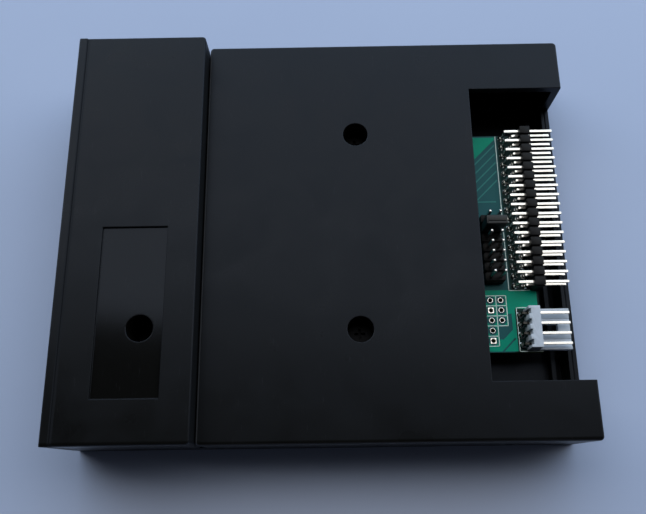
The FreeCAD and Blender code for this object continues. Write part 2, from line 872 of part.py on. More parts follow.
def copy_row(body, name, spacing, number):
    """The whole first pin, repeated along X."""
    pattern = body.newObject("PartDesign::LinearPattern", name + "_row")
    pattern.TransformMode = "Whole shape"
    pattern.Direction = (origin_feature(body, "X_Axis"), [""])
    bind(pattern, "Length", "%s * (%s - 1)" % (spacing, number))
    bind(pattern, "Occurrences", number)
    body.Tip = pattern
    doc.recompute()


def header_cell(sketch, middle, near, far):
    """Outline of one pin's share of a header block, with the notch cut at each corner."""
    left = middle + " - pitch / 2"
    right = middle + " + pitch / 2"
    draw(sketch, (
        (left + " + notch_cut", near), (right + " - notch_cut", near),
        (right, near + " + notch_cut"), (right, far + " - notch_cut"),
        (right + " - notch_cut", far), (left + " + notch_cut", far),
        (left, far + " - notch_cut"), (left, near + " + notch_cut"),
    ))


def data_header():
    """34 way right-angle header: one black block and two rows of bent pins."""
    body = new_body("data_header_body")
    cell = new_sketch(body, "data_header_cell", "XY_Plane", "board_top")
    near = "front_y + data_body_start"
    header_cell(cell, "data_first_x", near, near + " + pitch")
    block_pad = pad(body, cell, "pitch * 2")
    passage = new_sketch(body, "data_header_passages", "XZ_Plane", "-(%s) + overrun" % near)
    reach = "(pin_side / 2 + pin_fit)"
    for level in ("data_lower_level", "data_upper_level"):
        draw_rectangle(passage, "data_first_x - " + reach, "data_first_x + " + reach,
                       level + " - " + reach, level + " + " + reach)
    bores = pocket(body, passage, "pitch + overrun * 2")
    repeat(body, "data_header_cells", [block_pad, bores], "pitch", "data_columns")
    upper = bent_pins("data_header_upper_pins", "data_first_x", "pitch", "data_columns",
                      "pin_side", "data_tip", "data_upper_bend", "data_upper_level", "pin_tail")
    lower = bent_pins("data_header_lower_pins", "data_first_x", "pitch", "data_columns",
                      "pin_side", "data_tip", "data_lower_bend", "data_lower_level", "pin_tail")
    return [body, upper, lower]


def power_header():
    """4 way power inlet: white nylon wall with a slotted tongue under the pins."""
    body = new_body("power_header_body")
    profile = new_sketch(body, "power_header_profile", "YZ_Plane", "power_left")
    draw(profile, (
        ("front_y + power_back", "board_top"),
        ("front_y + power_back", "power_top"),
        ("front_y + power_face", "power_top"),
        ("front_y + power_face", "tongue_top"),
        ("front_y + tongue_end", "tongue_top"),
        ("front_y + tongue_end", "tongue_bottom"),
        ("front_y + tongue_step", "tongue_bottom"),
        ("front_y + tongue_step", "board_top"),
    ))
    pad(body, profile, "power_width")
    rails = new_sketch(body, "power_header_rails", "XY_Plane", "tongue_top")
    right = "power_left + power_width"
    for left, far in (("power_left", "power_left + rail_width"), (right + " - rail_width", right)):
        draw_rectangle(rails, left, far, "front_y + power_face - overrun", "front_y + tongue_end")
    pad(body, rails, "rail_rise")
    window = new_sketch(body, "power_header_window", "XY_Plane", "tongue_top")
    draw_rectangle(window, "window_left", "window_left + window_width",
                   "front_y + window_start", "front_y + window_start + window_length")
    pocket(body, window, "tongue_top - tongue_bottom + overrun")
    passage = new_sketch(body, "power_header_passages", "XZ_Plane", "-(front_y + power_back) + overrun")
    reach = "(pin_side / 2 + pin_fit)"
    draw_rectangle(passage, "power_first_x - " + reach, "power_first_x + " + reach,
                   "power_level - " + reach, "power_level + " + reach)
    bore = pocket(body, passage, "power_face - power_back + overrun * 2")
    repeat(body, "power_header_bores", [bore], "power_pitch", "power_pins")
    pins = bent_pins("power_header_pins", "power_first_x", "power_pitch", "power_pins",
                     "pin_side", "power_tip", "power_bend", "power_level", "pin_tail")
    return [body, pins]


def jumper_block():
    """Two by seven pins in a low black block, with one push-on cap across a pair."""
    body = new_body("jumper_block_body")
    cell = new_sketch(body, "jumper_block_cell", "XY_Plane", "board_top")
    near = "front_y + jumper_column - pitch / 2"
    header_cell(cell, "jumper_first_x", near, near + " + pitch * 2")
    block_pad = pad(body, cell, "pitch")
    passage = new_sketch(body, "jumper_block_passages", "XY_Plane", "jumper_top")
    reach = "(pin_side / 2 + pin_fit)"
    for column in ("front_y + jumper_column", "front_y + jumper_column + pitch"):
        draw_rectangle(passage, "jumper_first_x - " + reach, "jumper_first_x + " + reach,
                       column + " - " + reach, column + " + " + reach)
    bores = pocket(body, passage, "pitch + overrun")
    repeat(body, "jumper_block_cells", [block_pad, bores], "pitch", "jumper_rows")

    pins = new_body("jumper_block_pins")
    square = new_sketch(pins, "jumper_pin_section", "XY_Plane", "pin_tail")
    for column in ("front_y + jumper_column", "front_y + jumper_column + pitch"):
        draw_rectangle(square, "jumper_first_x - pin_side / 2", "jumper_first_x + pin_side / 2",
                       column + " - pin_side / 2", column + " + pin_side / 2")
    pad(pins, square, "jumper_tip - pin_tail")

    last = pins.Tip
    names = []
    for number, edge in enumerate(last.Shape.Edges, start=1):
        box = edge.BoundBox
        if box.ZLength < TOUCH and abs(box.Center.z - value("jumper_tip")) < TOUCH:
            names.append("Edge%d" % number)
    point = pins.newObject("PartDesign::Chamfer", "jumper_pin_point")
    point.Base = (last, names)
    bind(point, "Size", "pin_point")
    doc.recompute()
    copy_row(pins, "jumper_block_pins", "pitch", "jumper_rows")
    return [body, pins] + jumper_cap()


def jumper_cap():
    """Push-on cap with a folded spring contact that grips the two pins of one row."""
    middle_x = "jumper_first_x + cap_row * pitch"
    middle_y = "front_y + jumper_column + pitch / 2"
    body = new_body("jumper_cap")
    outside = new_sketch(body, "cap_outside", "XY_Plane", "cap_bottom")
    draw_rectangle(outside, middle_x + " - cap_width / 2", middle_x + " + cap_width / 2",
                   middle_y + " - cap_length / 2", middle_y + " + cap_length / 2")
    pad(body, outside, "cap_top - cap_bottom")

    def top_edge(edge):
        box = edge.BoundBox
        return box.ZLength < TOUCH and abs(box.Center.z - value("cap_top")) < TOUCH
    round_edges(body, "cap_top_round", "cap_skin / 2", top_edge)
    slot = new_sketch(body, "cap_slot", "XY_Plane", "cap_bottom")
    draw_rectangle(slot, middle_x + " - cap_slot_half", middle_x + " + cap_slot_half",
                   middle_y + " - cap_slot_length / 2", middle_y + " + cap_slot_length / 2")
    pocket(body, slot, "cap_top - cap_bottom - cap_skin", reverse=True)

    blades = []
    inner = "(pin_side / 2 + contact_gap)"
    for sign, low_x in (("left", "%s - %s - contact_thickness" % (middle_x, inner)),
                        ("right", "%s + %s" % (middle_x, inner))):
        low = (low_x, middle_y + " - cap_slot_length / 2 + small_gap",
               "cap_top - cap_skin - contact_height")
        blades.append(block("cap_blade_" + sign, low, (
            "contact_thickness", "cap_slot_length - small_gap * 2", "contact_height")))
    low = ("%s - %s" % (middle_x, inner), middle_y + " - contact_bridge / 2",
           "cap_top - cap_skin - contact_thickness")
    bridge = block("cap_bridge", low, (inner + " * 2", "contact_bridge", "contact_thickness"))
    return [body, join("jumper_cap_contact", blades + [bridge])]


def display():
    """Three digit display: dark block, glowing bars, two rows of leads, and its tinted window."""
    low_x = "display_x - display_width / 2"
    housing = block("display_housing", (low_x, "front_y + display_start", "display_bottom"),
                    ("display_width", "display_depth", "display_height"))
    bars = []
    middle_z = "display_bottom + display_height / 2"
    flat = ("segment_length", "segment_width")
    upright = ("segment_width", "segment_length")
    layout = [("0", "-2", flat), ("0", "0", flat), ("0", "2", flat),
              ("-1", "-1", upright), ("-1", "1", upright), ("1", "-1", upright), ("1", "1", upright)]
    for digit in range(count("digits")):
        middle_x = "display_x + (%d - (digits - 1) / 2) * digit_pitch" % digit
        for number, (across, up, (width, tall)) in enumerate(layout):
            low = ("%s + (%s) * segment_step - %s / 2" % (middle_x, across, width),
                   "front_y + display_start - segment_depth",
                   "%s + (%s) * segment_step - %s / 2" % (middle_z, up, tall))
            bars.append(block("bar_%d_%d" % (digit, number), low, (width, "segment_depth", tall)))
    segments = group("display_segments", bars)
    first = "display_x - pitch * (lead_columns - 1) / 2"
    tip = "display_start + display_depth"
    lower = lead_row("display_lower_leads", first, "pitch", "lead_columns", tip,
                     "lead_lower_bend", "lead_lower_level")
    upper = lead_row("display_upper_leads", first, "pitch", "lead_columns", tip,
                     "lead_upper_bend", "lead_upper_level")
    leads = group("display_leads", [lower, upper])
    low = ("display_x - window_plate_width / 2", "front_y", middle_z + " - window_plate_height / 2")
    window = block("display_window", low, ("window_plate_width", "window_plate_depth - small_gap",
                                           "window_plate_height"))
    return [housing, segments, leads, window]


def lead_row(name, first, spacing, number, start, bend, level):
    """Thin square leads that leave the back of a part and turn down through the board."""
    body = new_body(name)
    profile = new_sketch(body, name + "_profile", "YZ_Plane", first)
    near = "front_y + " + start
    back = "front_y + " + bend
    draw(profile, (
        (near, level + " - lead_side / 2"), (back, level + " - lead_side / 2"),
        (back, "pin_tail"), (back + " + lead_side", "pin_tail"),
        (back + " + lead_side", level + " + lead_side / 2"), (near, level + " + lead_side / 2"),
    ))
    pad(body, profile, "lead_side", middle=True)

    def outer_corner(edge):
        box = edge.BoundBox
        across = box.YLength < TOUCH and box.ZLength < TOUCH
        at_back = abs(box.Center.y - value(back + " + lead_side")) < TOUCH
        return across and at_back and box.Center.z > value(level)
    round_edges(body, name + "_bend", "lead_side", outer_corner)
    copy_row(body, name, spacing, number)
    return body


def turned(name, across, steps, round_radius):
    """A piece turned about a line along Y at button height, from its front face back."""
    body = new_body(name)
    profile = new_sketch(body, name + "_profile", "YZ_Plane", "0")
    corners = [(steps[0][0], "0")]
    for start, end, radius in steps:
        corners.append((start, radius))
        corners.append((end, radius))
    corners.append((steps[-1][1], "0"))
    draw(profile, corners)
    feature = body.newObject("PartDesign::Revolution", name + "_turning")
    feature.Profile = profile
    feature.ReferenceAxis = (profile, ["H_Axis"])
    feature.Angle = 360
    doc.recompute()

    def front_rim(edge):
        box = edge.BoundBox
        at_front = box.YLength < TOUCH and abs(box.Center.y - value(steps[0][0])) < TOUCH
        return at_front and box.XLength > TOUCH
    round_edges(body, name + "_rim", round_radius, front_rim)
    place(body, across, "front_y", "button_level")
    return body


def buttons():
    """Two push buttons, and the switch under each: housing, bracket, snap dome and terminals."""
    made = []
    housings, brackets, domes, terminals = [], [], [], []
    collar_end = "button_collar_start + button_collar_length"
    for button in ("up_button", "down_button"):
        across = button + "_x"
        made.append(turned(button + "_stem", across, (
            ("-button_proud", "button_collar_start", "button_radius"),
            ("button_collar_start", collar_end, "button_collar_radius"),
            (collar_end, "button_end", "button_plunger_radius"),
        ), "button_round"))
        outside = block(button + "_housing_block",
                        (across + " - switch_width / 2", "front_y + switch_start", "board_top"),
                        ("switch_width", "switch_depth", "switch_top - board_top"))
        cavity = rod(button + "_housing_cavity", "y",
                     (across, "front_y + cavity_start", "button_level"),
                     "cavity_radius", "cavity_depth")
        mouth = rod(button + "_housing_mouth", "y",
                    (across, "front_y + switch_start - overrun", "button_level"),
                    "button_radius + button_clear", "cavity_start - switch_start + overrun * 2")
        housings.append(cut(button + "_housing", outside, [cavity, mouth]))
        brackets.append(bracket(button + "_bracket", across))
        dome = doc.addObject("Part::Cone", button + "_dome")
        dome.Placement.Rotation = TURNS["y"]
        bind(dome, "Radius1", "dome_top")
        bind(dome, "Radius2", "dome_rim")
        bind(dome, "Height", "dome_depth")
        place(dome, across, "front_y + dome_start", "button_level")
        domes.append(dome)
        terminals.append(lead_row(button + "_terminals", across + " - terminal_offset",
                                  "terminal_offset * 2", "button_terminals",
                                  "switch_start + switch_depth", "terminal_bend", "terminal_level"))
    made.append(group("switch_housings", housings))
    made.append(group("switch_brackets", brackets))
    made.append(group("switch_domes", domes))
    made.append(group("switch_terminals", terminals))
    return made


def bracket(name, across):
    """Folded steel plate over the front of a switch, with a side leg each way."""
    front = "front_y + switch_start - bracket_thickness"
    left = across + " - switch_width / 2 - bracket_thickness"
    tall = "switch_top - board_top"
    face = block(name + "_face", (left, front, "board_top"),
                 ("switch_width + bracket_thickness * 2", "bracket_thickness", tall))
    hole = rod(name + "_hole", "y", (across, front + " - overrun", "button_level"),
               "button_radius + button_clear", "bracket_thickness + overrun * 2")
    legs = []
    for side, low_x in (("left", left), ("right", across + " + switch_width / 2")):
        legs.append(block(name + "_leg_" + side, (low_x, front, "board_top"),
                          ("bracket_thickness", "bracket_thickness + bracket_leg", tall)))
    return cut(name, join(name + "_folded", [face] + legs), [hole])


def status_lamp():
    """Small round lamp in a black block that stands it off the board."""
    lamp = turned("status_lamp", "lamp_x", (
        ("-lamp_proud", "lamp_flange_start", "lamp_radius"),
        ("lamp_flange_start", "lamp_flange_start + lamp_flange_length", "lamp_flange_radius"),
    ), "lamp_round")
    outside = block("lamp_block",
                    ("lamp_x - lamp_block_half", "front_y + lamp_block_start", "board_top"),
                    ("lamp_block_half * 2", "lamp_block_end - lamp_block_start",
                     "lamp_block_top - board_top"))
    bore = rod("lamp_bore", "y", ("lamp_x", "front_y + lamp_block_start - overrun", "button_level"),
               "lamp_radius + lamp_clear", "lamp_block_end - lamp_block_start + overrun * 2")
    seat = rod("lamp_seat", "y", ("lamp_x", "front_y + lamp_flange_start - lamp_clear", "button_level"),
               "lamp_flange_radius + lamp_clear", "lamp_block_end")
    holder = cut("lamp_holder", outside, [bore, seat])
    leads = lead_row("lamp_leads", "lamp_x - lamp_lead_offset", "lamp_lead_offset * 2",
                     "lamp_terminals", "lamp_flange_start + lamp_flange_length",
                     "lamp_lead_bend", "button_level")
    return [lamp, holder, leads]


def memory_socket():
    """Socket for the memory stick: folded steel shell, plastic tongue and four contacts."""
    body = new_body("usb_shell")
    outside = new_sketch(body, "usb_outside", "XZ_Plane", "-(front_y + usb_start)")
    draw_rectangle(outside, "usb_x - usb_width / 2", "usb_x + usb_width / 2",
                   "usb_bottom", "usb_bottom + usb_height")
    pad(body, outside, "usb_length", reverse=True)
    inside = new_sketch(body, "usb_inside", "XZ_Plane", "-(front_y + usb_start)")
    draw_rectangle(inside, "usb_x - usb_width / 2 + usb_skin", "usb_x + usb_width / 2 - usb_skin",
                   "usb_bottom + usb_skin", "usb_bottom + usb_height - usb_skin")
    pocket(body, inside, "usb_length - usb_skin")
    legs = new_sketch(body, "usb_legs", "XY_Plane", "usb_bottom + overrun")
    middle = "front_y + usb_leg_y"
    for sign in ("-", "+"):
        draw_rectangle(legs, "usb_x %s (usb_width / 2 - usb_skin)" % sign,
                       "usb_x %s usb_width / 2" % sign,
                       middle + " - usb_leg_width / 2", middle + " + usb_leg_width / 2")
    pad(body, legs, "usb_bottom + overrun - pin_tail", reverse=True)
    tails = new_sketch(body, "usb_tail_slot", "XY_Plane", "usb_bottom + usb_skin")
    near = "front_y + usb_slot_start"
    reach = "(usb_outer_contact + usb_contact_width)"
    draw_rectangle(tails, "usb_x - " + reach, "usb_x + " + reach, near, near + " + usb_slot_length")
    pocket(body, tails, "usb_skin + overrun")

    tongue = new_body("usb_tongue")
    bar = new_sketch(tongue, "usb_tongue_profile", "YZ_Plane", "usb_x - usb_tongue_width / 2")
    back = "front_y + usb_start + usb_length - usb_skin - small_gap"
    level = "usb_tongue_bottom"
    draw(bar, (
        ("front_y + usb_tongue_start", level),
        ("front_y + usb_tongue_start", level + " + usb_tongue_height"),
        (back, level + " + usb_tongue_height"),
        (back, "usb_bottom + usb_skin + small_gap"),
        ("front_y + usb_slot_start + usb_slot_length", "usb_bottom + usb_skin + small_gap"),
        ("front_y + usb_slot_start + usb_slot_length", level),
    ))
    pad(tongue, bar, "usb_tongue_width")
    strips = []
    tail = "usb_slot_start + usb_slot_length / 2 - usb_contact_thickness / 2"
    for number, offset in enumerate(("- usb_outer_contact", "- usb_inner_contact",
                                     "+ usb_inner_contact", "+ usb_outer_contact")):
        low_x = "usb_x %s - usb_contact_width / 2" % offset
        level_z = "usb_tongue_bottom - usb_contact_thickness"
        strip = block("usb_strip_%d" % number, (low_x, "front_y + usb_contact_start", level_z),
                      ("usb_contact_width", tail + " + usb_contact_thickness - usb_contact_start",
                       "usb_contact_thickness"))
        drop = block("usb_drop_%d" % number, (low_x, "front_y + " + tail, "pin_tail"),
                     ("usb_contact_width", "usb_contact_thickness",
                      "usb_tongue_bottom - pin_tail - usb_contact_thickness / 2"))
        strips.append(join("usb_contact_%d" % number, [strip, drop]))
    return [body, tongue, group("usb_contacts", strips)]


def microcontroller():
    """Square controller chip with gull-wing leads on all four sides."""
    body = new_body("microcontroller")
    square = new_sketch(body, "chip_outline", "XY_Plane", "0")
    draw_rectangle(square, "-chip_side / 2", "chip_side / 2", "-chip_side / 2", "chip_side / 2")
    pad(body, square, "chip_height")
    mark = new_sketch(body, "chip_mark", "XY_Plane", "chip_height")
    draw_circle(mark, "-chip_mark_offset", "-chip_mark_offset", "chip_mark_radius")
    pocket(body, mark, "small_gap")
    place(body, "chip_x", "front_y + chip_y", "board_top + chip_stand")

    leads = new_body("microcontroller_leads")
    profile = new_sketch(leads, "chip_lead_profile", "YZ_Plane",
                         "-chip_lead_pitch * (chip_leads - 1) / 2")
    near = "chip_side / 2"
    knee = "chip_side / 2 + chip_lead_knee"
    far = "chip_side / 2 + chip_lead_reach"
    middle = "chip_height / 2"
    foot = "-chip_stand"
    more = " + chip_lead_thickness"
    draw(profile, (
        (near, middle), (knee, middle), (knee, foot), (far, foot), (far, foot + more),
        (knee + more, foot + more), (knee + more, middle + more), (near, middle + more),
    ))
    first = pad(leads, profile, "chip_lead_width", middle=True)
    transform = leads.newObject("PartDesign::MultiTransform", "chip_lead_rows")
    row = leads.newObject("PartDesign::LinearPattern", "chip_lead_row")
    row.Direction = (origin_feature(leads, "X_Axis"), [""])
    bind(row, "Length", "chip_lead_pitch * (chip_leads - 1)")
    bind(row, "Occurrences", "chip_leads")
    ring = leads.newObject("PartDesign::PolarPattern", "chip_lead_ring")
    ring.Axis = (origin_feature(leads, "Z_Axis"), [""])
    ring.Angle = 360
    ring.Occurrences = 4
    transform.Originals = [first]
    transform.Transformations = [row, ring]
    leads.Tip = transform
    doc.recompute()
    place(leads, "chip_x", "front_y + chip_y", "board_top + chip_stand")
    return [body, leads]


def clock_crystal():
    """Flat steel crystal can with a rim, lying across the board beside the controller."""
    solids = []
    for name, grow, low_z, tall in (("can", "0", "board_top", "crystal_height"),
                                    ("rim", "crystal_flange", "board_top", "crystal_flange")):
        radius = "(crystal_width / 2 + %s / 2)" % grow
        straight = "(crystal_length - crystal_width)"
        low = ("crystal_x - " + radius, "front_y + crystal_y - %s / 2" % straight, low_z)
        solids.append(block("crystal_%s_middle" % name, low, (radius + " * 2", straight, tall)))
        for end in ("-", "+"):
            middle = ("crystal_x", "front_y + crystal_y %s %s / 2" % (end, straight), low_z)
            label = "crystal_%s_end_%s" % (name, "near" if end == "-" else "far")
            solids.append(rod(label, "z", middle, radius, tall))
    return join("clock_crystal", solids)


def voltage_regulator():
    """Regulator for the logic supply: moulded block, three leads in front and a wide tab behind."""
    near = "front_y + regulator_y"
    low_x = "regulator_x - regulator_width / 2"
    moulding = block("voltage_regulator", (low_x, near, "board_top + chip_stand"),
                     ("regulator_width", "regulator_length", "regulator_height"))
    metal = []
    thick = "chip_lead_thickness * 2"
    for number in range(count("regulator_pins")):
        step = "(%d - (regulator_pins - 1) / 2) * regulator_pitch" % number
        low = ("regulator_x + %s - regulator_lead / 2" % step,
               near + " - regulator_lead_length", "board_top")
        metal.append(block("regulator_lead_%d" % number, low,
                           ("regulator_lead", "regulator_lead_length", thick)))
    low = ("regulator_x - regulator_tab / 2", near + " + regulator_length", "board_top")
    metal.append(block("regulator_back_tab", low, ("regulator_tab", "regulator_lead_length", thick)))
    return [moulding, group("regulator_leads", metal)]


def smoothing_capacitors():
    """Two aluminium cans on black feet with two corners cut."""
    cans, feet = [], []
    for number in range(count("cans")):
        middle_y = "front_y + can_front_y + %d * can_pitch" % number
        foot = new_body("can_foot_%d" % number)
        half = "can_base_side / 2"
        outline = new_sketch(foot, "can_foot_outline_%d" % number, "XY_Plane", "0")
        draw(outline, (
            ("-" + half, "-" + half), (half, "-" + half),
            (half, half + " - can_cut"), (half + " - can_cut", half),
            ("-%s + can_cut" % half, half), ("-" + half, half + " - can_cut"),
        ))
        pad(foot, outline, "can_base_height")
        place(foot, "can_x", middle_y, "board_top")
        feet.append(foot)
        can = rod("can_%d" % number, "z", ("can_x", middle_y, "board_top + can_base_height"),
                  "can_radius", "can_height - can_base_height")
        cans.append(can)
    return [group("capacitor_cans", cans), group("capacitor_feet", feet)]


def chip_parts():
    """Small soldered capacitors and resistors in rows beside the larger parts."""
    capacitors, resistors = [], []
    for letter in "abcdefghij":
        low = ("capacitor_%s_x - chip_cap_length / 2" % letter,
               "front_y + capacitor_%s_y - chip_cap_width / 2" % letter, "board_top")
        capacitors.append(block("chip_capacitor_" + letter, low,
                                ("chip_cap_length", "chip_cap_width", "chip_cap_height")))
    for row in range(count("resistor_rows")):
        for column in range(count("resistor_columns")):
            low = ("resistor_x + %d * resistor_pitch - resistor_length / 2" % column,
                   "front_y + resistor_y + %d * resistor_row_pitch - resistor_width / 2" % row,
                   "board_top")
            resistors.append(block("chip_resistor_%d_%d" % (row, column), low,
                                   ("resistor_length", "resistor_width", "resistor_height")))
    return [group("chip_capacitors", capacitors), group("chip_resistors", resistors)]


def build():
    """Every sub-part, in the order in which the drive is put together."""
    parts = [bottom_tray(), circuit_board()]
    parts += data_header()
    parts += power_header()
    parts += jumper_block()
    parts += display()
    parts += buttons()
    parts += status_lamp()
    parts += memory_socket()
    parts += microcontroller()
    parts.append(clock_crystal())
    parts += voltage_regulator()
    parts += smoothing_capacitors()
    parts += chip_parts()
    parts += [front_panel(), front_hood(), top_cover()]
    parts += screws()
    return parts


def check(parts):
    """Stop if any object failed or any sub-part has no sound shape."""
    doc.recompute()
    for thing in doc.Objects:
        if "Invalid" in thing.State or "Error" in thing.State:
            raise ValueError("failed object: %s %s" % (thing.Name, thing.State))
    for part in parts:
        if part.Shape.isNull() or not part.Shape.isValid() or not part.Shape.Solids:
            raise ValueError("bad shape: " + part.Label)


def write(parts):
    os.makedirs("parts", exist_ok=True)
    for part in parts:
        part.Shape.exportStep("parts/%s.step" % part.Label)
        box = part.Shape.BoundBox
        print("%-26s solids %3d  volume %9.1f  x %7.2f %7.2f  y %7.2f %7.2f  z %6.2f %6.2f" % (
            part.Label, len(part.Shape.Solids), part.Shape.Volume,
            box.XMin, box.XMax, box.YMin, box.YMax, box.ZMin, box.ZMax))


fill_sheet()
subparts = build()
check(subparts)
write(subparts)
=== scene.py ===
import math

import bpy
from mathutils import Matrix, Vector


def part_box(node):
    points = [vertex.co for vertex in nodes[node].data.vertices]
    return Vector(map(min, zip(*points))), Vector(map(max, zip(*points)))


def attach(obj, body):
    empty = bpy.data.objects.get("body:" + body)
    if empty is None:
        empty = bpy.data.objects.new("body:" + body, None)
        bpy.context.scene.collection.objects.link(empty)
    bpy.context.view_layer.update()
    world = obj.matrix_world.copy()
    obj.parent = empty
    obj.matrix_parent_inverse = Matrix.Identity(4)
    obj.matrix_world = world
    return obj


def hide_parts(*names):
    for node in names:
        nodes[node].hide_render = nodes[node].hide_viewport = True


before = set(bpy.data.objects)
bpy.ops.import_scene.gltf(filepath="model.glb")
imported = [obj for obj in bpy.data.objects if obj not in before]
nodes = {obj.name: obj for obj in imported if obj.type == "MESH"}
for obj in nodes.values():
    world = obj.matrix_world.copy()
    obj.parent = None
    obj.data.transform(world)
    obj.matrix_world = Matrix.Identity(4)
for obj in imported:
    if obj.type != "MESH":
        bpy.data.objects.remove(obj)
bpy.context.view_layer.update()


# Bottom tray: the lower half of the case, with low walls, board posts and threaded bosses.
# It is injection moulded in black ABS. The mould is spark eroded, which leaves an even satin
# with a fine pebble, and handling has left faint rubs and thin scratches on it.
MM = 0.001
BLACK, WORN_BLACK = "#080808", "#0e0e0d"
# The front panel meets the hood here.
JOINT_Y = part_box("front_hood")[0].y
# A Mix node's colour sockets share their names with its other sockets, so they go by number.
MIX_A, MIX_B, MIXED = 6, 7, 2


def colour(code):
    """An sRGB hex value as the linear colour that the shaders use."""
    levels = [int(code[at:at + 2], 16) / 255 for at in (1, 3, 5)]
    linear = [level / 12.92 if level <= 0.04045 else ((level + 0.055) / 1.055) ** 2.4
              for level in levels]
    return (*linear, 1.0)


def add(material, kind, inputs=None, **settings):
    """Add a node with its settings. Each input is a steady value or another node's output."""
    node = material.node_tree.nodes.new("ShaderNode" + kind)
    for name, setting in settings.items():
        setattr(node, name, setting)
    for socket, source in (inputs or {}).items():
        if isinstance(source, bpy.types.NodeSocket):
            material.node_tree.links.new(source, node.inputs[socket])
        else:
            node.inputs[socket].default_value = source
    return node


def new_finish(name, steady):
    """A material with one Principled shader, and the shader. Steady values go on its sockets."""
    material = bpy.data.materials.new(name)
    material.use_nodes = True
    shader = material.node_tree.nodes["Principled BSDF"]
    for socket, value in steady.items():
        shader.inputs[socket].default_value = value
    return material, shader


def connect(material, source, target):
    """Link a node's output to an input."""
    material.node_tree.links.new(source, target)


def repaint(material, *names):
    """Give CAD nodes their finish."""
    for name in names:
        for slot in nodes[name].material_slots:
            slot.material = material


